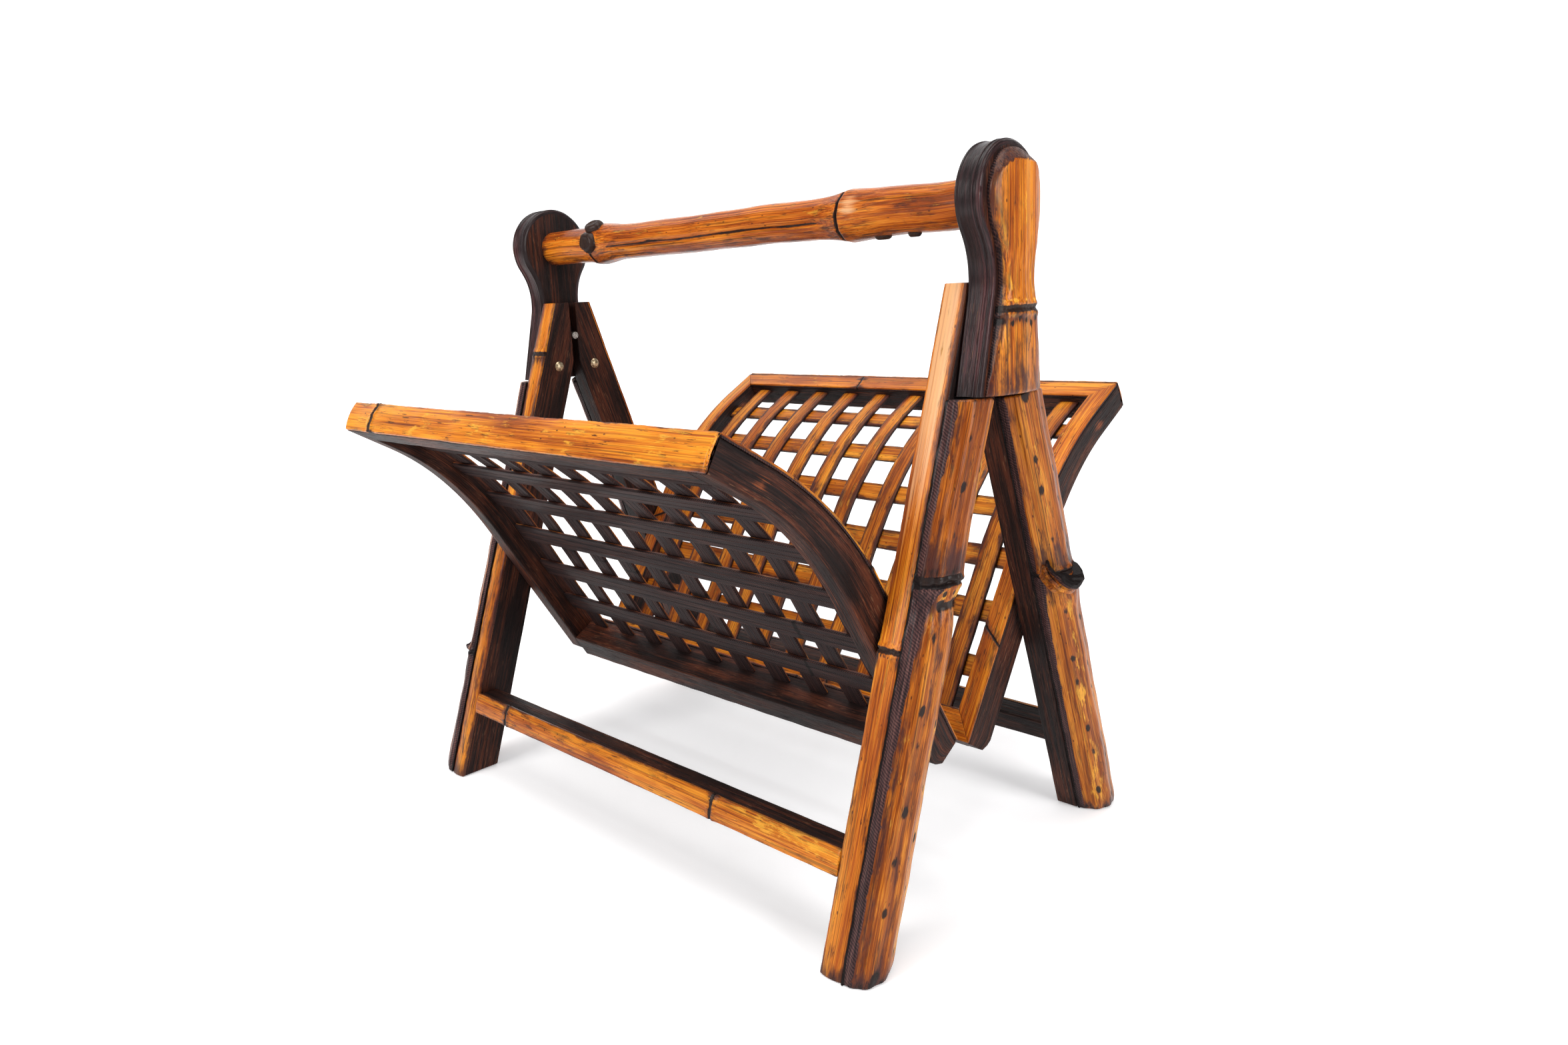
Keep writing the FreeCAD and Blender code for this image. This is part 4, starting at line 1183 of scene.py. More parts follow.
@dataclass
class Panel:
    """One basket panel: bent rails, strips on the inner face, and the lattice of slats."""

    name: str
    row: int
    end_y: float
    end_z: float
    lean: float
    top_node: float
    side_nodes: dict[str, float]
    skin_node: float
    finishes: dict[str, bpy.types.Material]
    half: float = 184.0
    rail: float = 14.0
    lower_run: float = 131.0
    bend_radius: float = 232.0
    bend_angle: float = 28.7
    upper_run: float = 39.0
    lower_depth: float = 26.0
    upper_depth: float = 21.0
    end_chamfer: float = 6.0
    strip_depth: float = 2.5
    skin: float = 4.0
    top_tall: float = 20.0
    bottom_tall: float = 19.5
    slat_depth: float = 6.0
    slat_thick: float = 3.0
    slat_width: float = 15.0
    cross_count: int = 6
    down_count: int = 10

    @property
    def bend(self) -> float:
        """The bend's angle, in radians."""
        return math.radians(self.bend_angle)

    @property
    def bend_end(self) -> float:
        """Where the bend ends along the panel."""
        return self.lower_run + self.bend_radius * self.bend

    @property
    def length(self) -> float:
        """Length of the panel along its inner face."""
        return self.bend_end + self.upper_run

    @property
    def top_edge(self) -> float:
        """Where the top skin starts along the panel."""
        return self.length - self.skin

    @property
    def top_inner(self) -> float:
        """Where the top rail starts along the panel."""
        return self.length - self.top_tall

    @property
    def rail_inner(self) -> float:
        """Distance of a side rail's inner side from the middle."""
        return self.half - self.rail

    def place(self, along: Array, depth: Array, x: Array) -> Array:
        """Point of the panel in the row frame.

        Args:
            along: distance along the inner face from the bottom end.
            depth: distance outward from the inner face.
            x: place across the panel.

        Returns:
            The points.
        """
        radius = self.bend_radius - depth
        turn = np.clip((along - self.lower_run) / self.bend_radius, 0.0, self.bend)
        beyond = np.maximum(along - self.bend_end, 0.0)
        low = np.minimum(along, self.lower_run)
        y = -self.bend_radius + radius * np.cos(turn) - beyond * np.sin(turn)
        z = low + radius * np.sin(turn) + beyond * np.cos(turn)
        tip = math.radians(90.0 - self.lean)
        turned_y = y * math.cos(tip) - z * math.sin(tip)
        turned_z = y * math.sin(tip) + z * math.cos(tip)
        return np.stack([x, -self.row * (turned_y - abs(self.end_y)), turned_z + self.end_z], -1)

    def outer_depth(self, along: Array) -> Array:
        """Depth of a side rail along the panel, with its cut corner at the bottom end."""
        share = soft_step(along, self.lower_run - 6.0, self.bend_end + 6.0)
        depth = self.lower_depth + (self.upper_depth - self.lower_depth) * share
        return np.minimum(depth, self.lower_depth - self.end_chamfer + np.maximum(along, 0.0))

    def side_rails(self) -> None:
        """The two bent side rails."""
        for side, side_name in SIDES:
            stock = Stock(seed=6.0 + side * 0.6 + self.row * 1.7)
            inner, outer, top = self.rail_inner, self.half, self.strip_depth + 0.15

            def place(along: Array, across: Array, x: Array, side: int = side, top: float = top) -> Array:
                """Point on the rail, whose depth changes along the panel."""
                share = across / self.lower_depth
                return self.place(along, top + share * (self.outer_depth(along) - 0.15 - top), side * x)

            outline = rounded_outline([(0.0, inner + 0.1), (self.lower_depth, inner + 0.1),
                                       (self.lower_depth, outer - 0.1), (0.0, outer - 0.1)], 1.1, 2.4)

            def paint(along: Array, across: Array, x: Array, seed: float = stock.seed) -> Paint:
                """Reddish middle, sooty edges, and the scuffed end."""
                share = across / self.lower_depth
                edge = np.minimum(share, 1 - share)
                char = 0.50 * (1 - soft_step(edge, 0.03, 0.2)) * (1 - 0.8 * bell(share, 1.0, 0.08))
                top = self.top_edge - 32.0 + 9.0 * share
                cap = soft_step(along, top, top + 3.0)
                mild = 0.22 * bell(share, 0.5, 0.3) * soft_step(wobble(along, seed, 170.0, 1.0), -0.7, 0.3)
                patch = 0.5 * bell(along, top - 7.0, 6.0) * bell(share, 0.55, 0.3)
                return {"char": char + 0.30 * cap, "wear": mild * (1 - cap) + patch + 0.36 * bell(share, 0.98, 0.03)}

            run = stations(0.0, self.top_edge - 0.05, 4.0, corner=1.0)
            stock.sweep(outline, run, place, None, paint, corner=0.0001)
            stock.piece(self.name, "dark_wood", self.finishes["dark_wood"], f"{self.name}_{side_name}_rail")

    def strips(self) -> None:
        """The four mitred bamboo strips on the inner face."""
        thick = self.strip_depth
        for side, side_name in SIDES:
            stock = Stock(seed=8.0 + side * 0.7 + self.row * 1.9)
            at = self.side_nodes[side_name]
            inner, outer = self.rail_inner, self.half
            outline = rounded_outline([(0.0, inner), (0.0, outer), (thick, outer), (thick, inner)], 0.6, 1.6)

            def place(along: Array, depth: Array, x: Array, side: int = side) -> Array:
                """Point on the strip, its ends cut on the mitre."""
                across = (x - self.rail_inner) / self.rail
                start = self.bottom_tall * (1 - across) + 0.15
                end = self.top_inner + across * (self.top_edge - self.top_inner) - 0.15
                share = along / self.length
                return self.place(start + share * (end - start), depth, side * x)

            def lift(along: Array, depth: Array, x: Array, at: float = at, seed: float = stock.seed) -> Array:
                """Slight crown and a node ring, kept out of the top and bottom strips."""
                crown = node_ring(along, at, 0.35) - 0.12 + wobble(along, seed, 52.0, 0.1)
                return np.where(depth < 1.2, crown, -0.05)

            def paint(along: Array, depth: Array, x: Array, at: float = at, seed: float = stock.seed) -> Paint:
                """Redder towards the bottom, dark ring, dark arrises."""
                edge = soft_step(np.abs(x - (self.half + self.rail_inner) / 2), 4.6, 7.0)
                low = 1 - soft_step(along, 20.0, 150.0)
                stain = 0.30 * edge + 0.22 * low + 0.4 * bell(along, at, 6.0) + wobble(along, seed, 33.0, 0.12)
                return {"skin": np.where(depth > 1.6, 0.15, 1.0 - 0.2 * edge), "char": bell(along, at, 1.3),
                        "stain": stain, "wear": 0.1 + wobble(along, seed + 2, 60.0, 0.2)}

            stock.sweep(outline, stations(0.0, self.length, 3.0, (at,), corner=0.3), place, lift, paint, corner=0.3)
            stock.piece(self.name, "bamboo_strip", self.finishes["bamboo_strip"], f"{self.name}_{side_name}_strip")
        self.cross_strip("top", self.top_inner, self.top_edge - 0.1, self.top_node)
        self.cross_strip("bottom", self.bottom_tall, 0.0, 65.0)

    def cross_strip(self, which: str, short: float, long: float, at: float) -> None:
        """The top or the bottom strip.

        Args:
            which: "top" or "bottom".
            short: where its shorter edge lies along the panel.
            long: where its longer edge lies.
            at: x of its node.
        """
        stock = Stock(seed=(9.3 if which == "top" else 10.9) + self.row * 2.1)
        low, high = min(short, long), max(short, long)
        outline = rounded_outline([(low, 0.0), (high, 0.0), (high, self.strip_depth), (low, self.strip_depth)],
                                  0.6, 1.6)

        def place(share: Array, along: Array, depth: Array) -> Array:
            """Point on the strip; the mitre shortens it towards its shorter edge."""
            reach = self.rail_inner + self.rail * (along - short) / (long - short) - 0.15
            return self.place(along, depth, share / self.half * reach)

        def lift(x: Array, along: Array, depth: Array) -> Array:
            """Slight crown and a node ring."""
            return np.where(depth < 1.2, node_ring(x, at + wobble(along, at, 12.0, 0.8), 0.35) - 0.12
                            + wobble(x, stock.seed, 77.0, 0.1), -0.05)

        def paint(x: Array, along: Array, depth: Array) -> Paint:
            """Dark ring and arrises; the bottom strip is redder."""
            edge = soft_step(np.abs(along - (low + high) / 2), (high - low) / 2 - 2.4, (high - low) / 2 - 0.3)
            base = 0.22 if which == "bottom" else 0.05
            return {"skin": np.where(depth > 1.6, 0.15, 1.0 - 0.2 * edge), "char": bell(x, at, 1.1),
                    "stain": base + 0.3 * edge + 0.35 * bell(x, at, 6.0) + wobble(x, stock.seed, 45.0, 0.12),
                    "wear": 0.08 + wobble(x, stock.seed, 99.0, 0.2)}

        stock.sweep(outline, stations(-self.half, self.half, 3.5, (at,), corner=0.3), place, lift, paint, corner=0.3)
        stock.piece(self.name, "bamboo_strip", self.finishes["bamboo_strip"], f"{self.name}_{which}_strip")

    def end_rails(self) -> None:
        """The top and bottom rails between the side rails."""
        top = self.strip_depth + 0.1
        for which, low, high, deep in (("top", self.top_inner, self.top_edge, self.upper_depth),
                                       ("bottom", 0.0, self.bottom_tall, self.lower_depth)):
            stock = Stock(seed=11.0 + low * 0.01 + self.row)
            outline = rounded_outline([(low, top), (high, top), (high, deep), (low, deep)], 0.9, 2.6)

            def place(x: Array, along: Array, depth: Array) -> Array:
                """Point on the rail."""
                return self.place(along, depth, x)

            def lift(x: Array, along: Array, depth: Array, seed: float = stock.seed) -> Array:
                """Rough planing."""
                return -0.15 + wobble(x + depth * 2, seed, 43.0, 0.15)

            def paint(x: Array, along: Array, depth: Array, deep: float = deep) -> Paint:
                """Greyish brown on the outer edge."""
                return {"wear": 0.05 + wobble(x, 3.0, 90.0, 0.12), "char": 0.25 * bell(depth, deep, 1.5)}

            reach = self.rail_inner - 0.05
            stock.sweep(outline, stations(-reach, reach, 6.0), place, lift, paint, corner=0.3)
            stock.piece(self.name, "dark_wood", self.finishes["dark_wood"], f"{self.name}_{which}_rail")

    def top_skin(self) -> None:
        """The crowned bamboo skin over the top rail's outward edge."""
        stock = Stock(seed=13.0 + self.row * 2.7)
        crown = 1.5
        flat = self.skin - crown
        half = self.upper_depth / 2
        arch = [(self.top_edge + flat + crown * (1 - t * t), half - t * (half - 0.1))
                for t in np.linspace(-1.0, 1.0, 17)]
        back = [(self.top_edge + 0.02, half - t * (half - 0.1)) for t in (1.0, 0.33, -0.33, -1.0)]
        outline = rounded_outline(arch + back, 0.9, 3.0)
        at = self.skin_node

        def place(x: Array, along: Array, depth: Array) -> Array:
            """Point on the skin."""
            return self.place(along, depth, x)

        def lift(x: Array, along: Array, depth: Array) -> Array:
            """Node ring, waves, and dents along the arrises."""
            shown = along > self.top_edge + 0.5
            raised = node_ring(x, at + wobble(depth, at, 15.0, 1.2), 0.65)
            dents = np.abs(wobble(x, stock.seed, 17.0, 0.25)) * soft_step(np.abs(depth - half), half - 2.0, half)
            return np.where(shown, raised - 0.40 + wobble(x, stock.seed, 120.0, 0.25) - dents, 0.0)

        def paint(x: Array, along: Array, depth: Array) -> Paint:
            """Pale amber with dark dashes, stained arrises, dark ring."""
            edge = soft_step(np.abs(depth - half), half - 2.6, half - 0.3)
            ragged = wobble(depth, at, 9.0, 1.0)
            char = 1.2 * bell(x, at + ragged, 2.0) + 0.6 * bell(x, at + 4.0 + 2 * ragged, 2.6) * edge
            stain = 0.34 * edge + 0.40 * bell(x, at + 3.0, 6.0) + wobble(x + depth * 2, stock.seed, 41.0, 0.10)
            stain = stain + 0.25 * soft_step(x, 110.0, 184.0) * soft_step(depth, 9.0, 16.0)
            return {"skin": np.where(along > self.top_edge + 0.5, 1.0 - 0.15 * edge, 0.0), "char": char,
                    "stain": stain, "wear": 0.22 + wobble(x + depth, stock.seed + 1, 75.0, 0.22)}

        stock.sweep(outline, stations(-self.half, self.half, 2.6, (at,), corner=1.6), place, lift, paint, corner=1.6)
        stock.piece(self.name, "bamboo_strip", self.finishes["lip_skin"], f"{self.name}_top_skin")

    def slat_outline(self, middle: float, depth: float) -> Array:
        """Outline of a slat as (depth, across), slightly crowned on its inner side.

        Args:
            middle: where the slat's middle lies across its length.
            depth: depth of its inner side.

        Returns:
            The outline.
        """
        half = self.slat_width / 2
        crown = [(depth + 0.35 * t * t, middle + t * half) for t in np.linspace(-1.0, 1.0, 9)]
        back = [(depth + self.slat_thick, middle + t * half) for t in (1.0, 0.33, -0.33, -1.0)]
        return rounded_outline(crown + back, 0.55, 2.5)

    def slats(self) -> None:
        """The lattice: bent slats down the panel, and cross slats fixed to their outside."""
        down = Stock(seed=15.0 + self.row * 3.1)
        pitch = 2 * self.rail_inner / self.down_count

        def slat_paint(along: Array, depth: Array, across: Array, front: float, middle: float,
                       seed: float) -> Paint:
            """Amber inner side, dark arrises and back."""
            edge = soft_step(np.abs(across - middle), self.slat_width / 2 - 3.0, self.slat_width / 2 - 1.0)
            at = 40.0 + (seed * 977.0) % 150.0
            inner = depth < front + 0.9
            return {"skin": np.where(inner, 1.0 - 0.35 * edge, 0.0), "char": 0.8 * bell(along, at, 1.2),
                    "stain": 0.62 * edge + 0.35 * bell(along, at, 5.0) + 0.14 * math.sin(seed * 31.0) + 0.08
                    + wobble(along + across, seed, 38.0, 0.15), "wear": 0.05 + 0.2 * math.sin(seed * 17.0)}

        for number in range(self.down_count):
            middle = -self.rail_inner + pitch * (number + 0.5)
            seed = down.seed + number * 0.61
            bow = 1.2 * math.sin(seed * 13.0)
            outline = self.slat_outline(middle, self.slat_depth)

            def place(along: Array, depth: Array, x: Array, bow: float = bow, seed: float = seed) -> Array:
                """Point on a bent slat, which bows a little sideways."""
                share = (along - self.bottom_tall) / (self.top_inner - self.bottom_tall)
                return self.place(along, depth, x + bow * np.sin(math.pi * share) + wobble(along, seed, 90.0, 0.3))

            def paint(along: Array, depth: Array, x: Array, middle: float = middle, seed: float = seed) -> Paint:
                """Paint of a bent slat."""
                return slat_paint(along, depth, x, self.slat_depth, middle, seed)

            def lift(along: Array, depth: Array, x: Array, seed: float = seed) -> Array:
                """Slightly uneven width."""
                return -0.1 + wobble(along, seed, 63.0, 0.18) * (np.abs(depth - self.slat_depth - 1.5) < 1.3)

            down.sweep(outline, stations(self.bottom_tall, self.top_inner, 4.0, corner=0.3), place, lift, paint,
                       corner=0.3)
        down.piece(self.name, "bamboo_slat", self.finishes["bamboo_slat"], f"{self.name}_down_slats")

        cross = Stock(seed=16.5 + self.row * 3.7)
        room = self.top_inner - self.bottom_tall - self.cross_count * self.slat_width
        gap = room / (self.cross_count + 1)
        front = self.slat_depth + self.slat_thick
        for number in range(self.cross_count):
            low = self.bottom_tall + gap + number * (self.slat_width + gap)
            middle = low + self.slat_width / 2
            seed = cross.seed + number * 0.47
            outline = self.slat_outline(middle, front)[:, ::-1]

            def cross_place(x: Array, along: Array, depth: Array) -> Array:
                """Point on a cross slat."""
                return self.place(along, depth, x)

            def cross_paint(x: Array, along: Array, depth: Array, middle: float = middle,
                            seed: float = seed) -> Paint:
                """Paint of a cross slat."""
                return slat_paint(x, depth, along, front, middle, seed)

            def cross_lift(x: Array, along: Array, depth: Array, seed: float = seed) -> Array:
                """Slightly uneven width."""
                return -0.12 + wobble(x, seed, 71.0, 0.2) * (np.abs(depth - front - 1.5) < 1.3)

            reach = self.rail_inner - 0.05
            cross.sweep(outline, stations(-reach, reach, 5.0, corner=0.3), cross_place, cross_lift, cross_paint,
                        corner=0.3)
        cross.piece(self.name, "bamboo_slat", self.finishes["bamboo_slat"], f"{self.name}_cross_slats")

    def build(self) -> None:
        """Make the whole panel."""
        self.side_rails()
        self.end_rails()
        self.strips()
        self.top_skin()
        self.slats()


@dataclass
class HandleFrame:
    """The two posts and the pole between them."""

    finishes: dict[str, bpy.types.Material]
    foot_half: float = 30.6
    foot_flare: float = 13.0
    head_radius: float = 30.0
    waist_radius: float = 45.0
    band: float = 3.0
    bead: float = 0.8
    bead_width: float = 1.6
    beads: tuple[float, ...] = (1.6, 11.2, 14.0)
    face_inset: float = 4.2
    face_bulge: float = 9.5
    face_edge: float = 3.0
    face_node: float = 343.0
    pole_radius: float = 13.0
    pole_seat: float = 9.0
    far_node: float = -139.0
    near_node: float = 107.0
    body: str = "handle_frame"

    def post_line(self, inset: float) -> Array:
        """Outline of a post from its front foot over the head to its rear foot, moved in by an inset.

        Args:
            inset: the distance moved in.

        Returns:
            (y, z) points; every inset has the same number of them.
        """
        flare = math.radians(self.foot_flare)
        head, waist = self.head_radius - inset, self.waist_radius + inset
        foot = np.array([self.foot_half - inset / math.cos(flare), SIZES.post_bottom])
        outward = np.array([math.cos(flare), math.sin(flare)])
        upward = np.array([-math.sin(flare), math.cos(flare)])
        middle = np.array([0.0, SIZES.handle_height])
        start = foot + outward * waist - middle
        half_b = start @ upward
        reach = -half_b - math.sqrt(half_b ** 2 - start @ start + (head + waist) ** 2)
        hollow = foot + outward * waist + upward * reach
        on_foot = hollow - outward * waist
        towards = (hollow - middle) / np.linalg.norm(hollow - middle)
        on_head = middle + towards * head
        line = [foot + (on_foot - foot) * t for t in np.linspace(0.0, 1.0, 10, endpoint=False)]
        first = math.atan2(*(on_foot - hollow)[::-1]) % (2 * math.pi)
        last = math.atan2(*(on_head - hollow)[::-1]) % (2 * math.pi)
        line += [hollow + waist * np.array([math.cos(t), math.sin(t)])
                 for t in np.linspace(first, last, 30, endpoint=False)]
        first = math.atan2(*(on_head - middle)[::-1])
        line += [middle + head * np.array([math.cos(t), math.sin(t)])
                 for t in np.linspace(first, math.pi / 2, 45)]
        right = np.array(line)
        left = right[-2::-1] * np.array([-1.0, 1.0])
        return np.concatenate([right, left])

    def post_band(self, side: int, side_name: str) -> None:
        """The bent band around a post, with its beads, chips and a worn patch.

        Args:
            side: -1 for the left and 1 for the right.
            side_name: "left" or "right".
        """
        stock = Stock(seed=20.0 + side)
        width = SIZES.post_core
        across = np.unique(np.concatenate([np.linspace(0.0, width, 23)]
                                          + [np.linspace(b - 1.0, b + 1.0, 9) for b in self.beads]))
        insets = np.zeros_like(across) + 0.12
        for middle in self.beads:
            insets -= (self.bead - 0.05) * np.sqrt(np.clip(1 - ((across - middle) / (self.bead_width / 2)) ** 2, 0, 1))
        insets += 0.7 * (bell(across, 0.0, 0.5) + bell(across, width, 0.5))
        section = [(x, inset) for x, inset in zip(across, insets)] + [(width, self.band), (0.0, self.band)]
        rows = np.array([self.post_line(float(inset)) for _, inset in section])
        x = np.array([place for place, _ in section])
        length = np.concatenate([[0.0], np.cumsum(np.linalg.norm(np.diff(rows[0], axis=0), axis=1))])
        along = np.repeat(length[:, None], len(section), 1)
        across_grid = np.repeat(x[None, :], len(length), 0)
        points = np.stack([np.repeat(side * (SIZES.post_inner + x)[None, :], len(length), 0),
                           rows[:, :, 0].T, rows[:, :, 1].T], -1)
        outward = np.stack([np.zeros_like(along), points[..., 1],
                            points[..., 2] - SIZES.handle_height], -1)
        outward /= np.maximum(np.linalg.norm(outward, axis=-1, keepdims=True), 1e-6)
        outer = np.array([inset < self.band - 0.1 for _, inset in section])
        uneven = (wobble(along + across_grid * 2, stock.seed, 57.0, 0.14) - 0.14) * outer[None, :]
        chips = -0.7 * np.clip(wobble(along, stock.seed + 2, 13.0, 1.0) - 0.62, 0, 1) * (across_grid < 1.3) * outer
        points = points + outward * (uneven + chips)[..., None]
        inset_grid = np.repeat(np.array([inset for _, inset in section])[None, :], len(length), 0)
        worn = 0.55 * bell(along, length[-1] * 0.10, 16.0) * bell(across_grid, 6.2, 3.0)
        bead_top = soft_step(-inset_grid, 0.2, 0.7)
        stock.add_grid(points, np.stack([across_grid, inset_grid, along], -1),
                       {"wear": worn + 0.12 * bead_top - chips * 0.3, "char": 0.4 * bell(inset_grid, 0.8, 0.4)})
        stock.piece(self.body, "band_dark_wood", self.finishes["band_dark_wood"], f"{side_name}_post_band")

    def post_face(self, side: int, side_name: str) -> None:
        """The bamboo face of a post: bulging, with a node and a sloping cut at its top.

        Args:
            side: -1 for the left and 1 for the right.
            side_name: "left" or "right".
        """
        stock = Stock(seed=23.0 + side * 1.5)
        line = self.post_line(self.face_inset)
        right = line[: len(line) // 2 + 1]
        top = SIZES.handle_height + self.head_radius - self.face_inset
        heights = stations(SIZES.post_bottom, top - 0.25, 1.6, (self.face_node,), corner=1.0)
        heights = np.unique(np.concatenate([heights, top - np.geomspace(0.25, 8.0, 12)]))
        half_width = np.interp(heights, right[:, 1], right[:, 0]) + wobble(heights, stock.seed, 21.0, 0.25) - 0.25
        hollow = (1.8 * bell(heights, 366.0, 15.0) + 2.4 * soft_step(heights, 376.0, 396.0)) * \
            np.minimum(half_width / 24.0, 1.0) ** 2
        widest = self.head_radius - self.face_inset
        rise = self.face_bulge - self.face_edge
        radius = (widest ** 2 + rise ** 2) / (2 * rise)
        share = np.sin(np.linspace(-1.0, 1.0, 45) * math.pi / 2)
        y = half_width[:, None] * share[None, :]
        y = y + hollow[:, None] * np.clip(-share[None, :], 0.0, 1.0)
        z = np.repeat(heights[:, None], len(share), 1)
        bulge = self.face_bulge - radius + np.sqrt(np.maximum(radius ** 2 - y ** 2, 0.0))
        ring_at = self.face_node + wobble(y, 3.0, 40.0, 0.5)
        lift = 1.1 * self.ring_lift(z - ring_at)
        facets = 0.25 * np.cos(y * 0.42 + 1.0) + 0.12 * np.cos(y * 1.7 + wobble(z, 5.0, 90.0, 0.6)) - 0.3
        waist = -0.7 * bell(z, self.face_node + 16.0, 12.0) + 0.5 * soft_step(self.face_node - z, 3.0, 26.0)
        depth = bulge + lift + facets + waist
        from_head = top - SIZES.handle_height - np.hypot(y, np.maximum(z - SIZES.handle_height, 0.0))
        lean_in = 1.0 + 0.5 * soft_step(y, 4.0, 20.0)
        slope = np.where(z > SIZES.handle_height - 14.0, self.face_edge - 0.4 + from_head * lean_in, 99.0)
        cut = slope < depth
        depth = np.minimum(depth, slope + wobble(y + z, 8.0, 9.0, 0.12))
        arris = half_width[:, None] * (1 - np.abs(share[None, :]))
        depth = depth - 1.5 * np.exp(-arris / 1.1)
        depth = np.clip(depth, 0.3, self.face_bulge + 1.15)
        foot_round = 0.8 * bell(z, SIZES.post_bottom, 0.7)
        front = np.stack([side * (SIZES.post_outer + depth - foot_round), y, z], -1)
        back_share = share[::-1][::6]
        back_y = half_width[:, None] * back_share[None, :] + hollow[:, None] * np.clip(-back_share[None, :], 0.0, 1.0)
        back = np.stack([np.full_like(back_y, side * (SIZES.post_outer + 0.02)), back_y,
                         np.repeat(heights[:, None], len(back_share), 1)], -1)
        points = np.concatenate([front, back], 1)
        depth_all = np.concatenate([depth, np.zeros_like(back_y)], 1)
        y_all, z_all = points[..., 1], points[..., 2]
        cut_all = np.concatenate([cut, np.zeros_like(back_y, bool)], 1)
        arris_all = np.concatenate([arris, np.zeros_like(back_y)], 1)
        straight = np.stack([y_all, depth_all, z_all], -1)
        stock.add_grid(points, straight, self.face_paint(y_all, z_all, arris_all, cut_all, depth_all))
        stock.piece(self.body, "bamboo_face", self.finishes["bamboo_face"], f"{side_name}_post_face")

    @staticmethod
    def ring_lift(away: Array) -> Array:
        """Lift of the face around its node, for distances from the node."""
        return (0.30 * bell(away, 0.0, 8.0) + 0.55 * bell(away, 2.6, 1.5) + 0.55 * bell(away, -2.8, 1.6)
                - 0.85 * bell(away, 0.0, 1.3))

    def face_paint(self, y: Array, z: Array, arris: Array, cut: Array, depth: Array) -> Paint:
        """Burn marks, stains and wear of a post's face.

        Args:
            y: place across the face.
            z: height.
            arris: distance from the face's edge.
            cut: where the sloping cut is.
            depth: how far the surface stands out.

        Returns:
            The painted values.
        """
        node = self.face_node
        ragged = wobble(y, 3.0, 9.0, 0.6)
        char = 1.2 * bell(z, node + ragged * 0.4, 2.0)
        for number in range(7):
            at_y = -17.0 + 5.6 * number
            char = char + 0.75 * bell(z, node - 6.5 - 1.5 * math.sin(number * 2.0), 2.6) * bell(y, at_y, 1.9)
        char = char + 0.7 * bell(y - 0.35 * (z - node + 18), 4.0, 1.1) * bell(z, node - 17.0, 7.0)
        low = soft_step(node - z, 0.0, 6.0)
        edge = 1 - soft_step(arris, 0.3, 2.6)
        stain = 0.35 * edge + 0.45 * bell(y, -20.0, 7.0) * soft_step(z, 350.0, 400.0) + 0.30 * low
        stain = stain + 0.5 * bell(y, -8.0, 3.0) * bell(z, 392.0, 9.0) + 0.30 * low * bell(z, 300.0, 12.0)
        stain = stain + wobble(z + y * 2, 6.0, 29.0, 0.12) + 0.35 * bell(z, node - 4.5, 4.0)
        stain = np.where(cut, 0.85, stain)
        rim = bell(z, node - 4.0, 1.2) + bell(z, node + 4.2, 1.0)
        wear = 0.18 + wobble(y * 2 + z * 0.4, 2.0, 44.0, 0.28) + 0.35 * rim - 0.2 * low
        return {"skin": np.where(depth < 0.9, 0.0, np.where(cut, 0.52, 1 - 0.3 * edge)), "char": char, "stain": stain,
                "wear": np.where(cut, 0.0, wear)}

    def pole(self) -> None:
        """The bamboo pole: two nodes, groove, bud stubs, scars and streaks."""
        stock = Stock(seed=27.0)
        end = SIZES.post_inner + self.pole_seat
        turns = np.linspace(0.0, 2 * math.pi, 72, endpoint=False)
        outline = np.stack([self.pole_radius * np.cos(turns), self.pole_radius * np.sin(turns)], 1)

        def place(x: Array, y: Array, z: Array) -> Array:
            """Point on the pole, which is very slightly crooked."""
            free = 1 - soft_step(np.abs(x), SIZES.post_inner - 25.0, SIZES.post_inner)
            bow = wobble(x, 1.3, 260.0, 0.7) * free
            return np.stack([x, y + bow * 0.6, z + bow + SIZES.handle_height], -1)

        def lift(x: Array, y: Array, z: Array) -> Array:
            """Lips at the nodes, fuller stretches beyond them, and the groove."""
            turn = np.arctan2(z, -y)
            near = self.near_node + 1.2 * np.sin(turn + 0.6)
            after, before = np.maximum(x - near, 0.0), np.maximum(near - x, 0.0)
            lip = np.where(x < near, 2.1 * np.exp(-(before / 9.0) ** 1.3), 2.35 * np.exp(-(after / 26.0) ** 1.3))
            lip = lip - 1.9 * bell(x, near, 1.0)
            fuller = 0.4 * soft_step(x, near, near + 3.0)
            far = self.far_node + 1.0 * np.sin(turn)
            beyond = np.where(x > far, (x - far) / 17.0, (far - x) / 7.0)
            lip_far = 2.2 * np.exp(-np.abs(beyond) ** 1.4) - 1.5 * bell(x, far, 1.0)
            between = soft_step(x, self.far_node + 8, self.far_node + 30) * (1 - soft_step(x, near - 30, near - 6))
            slim = -0.55 * between
            crease = -1.5 * bell(turn, -0.28 + 0.05 * np.sin(x * 0.02), 0.13) * between
            ribs = 0.16 * np.cos(turn * 11 + 0.4) + wobble(x + turn * 20, 3.0, 90.0, 0.18) - 0.16
            return lip + fuller + lip_far + slim + crease + ribs * (np.abs(x) < SIZES.post_inner - 2.0)

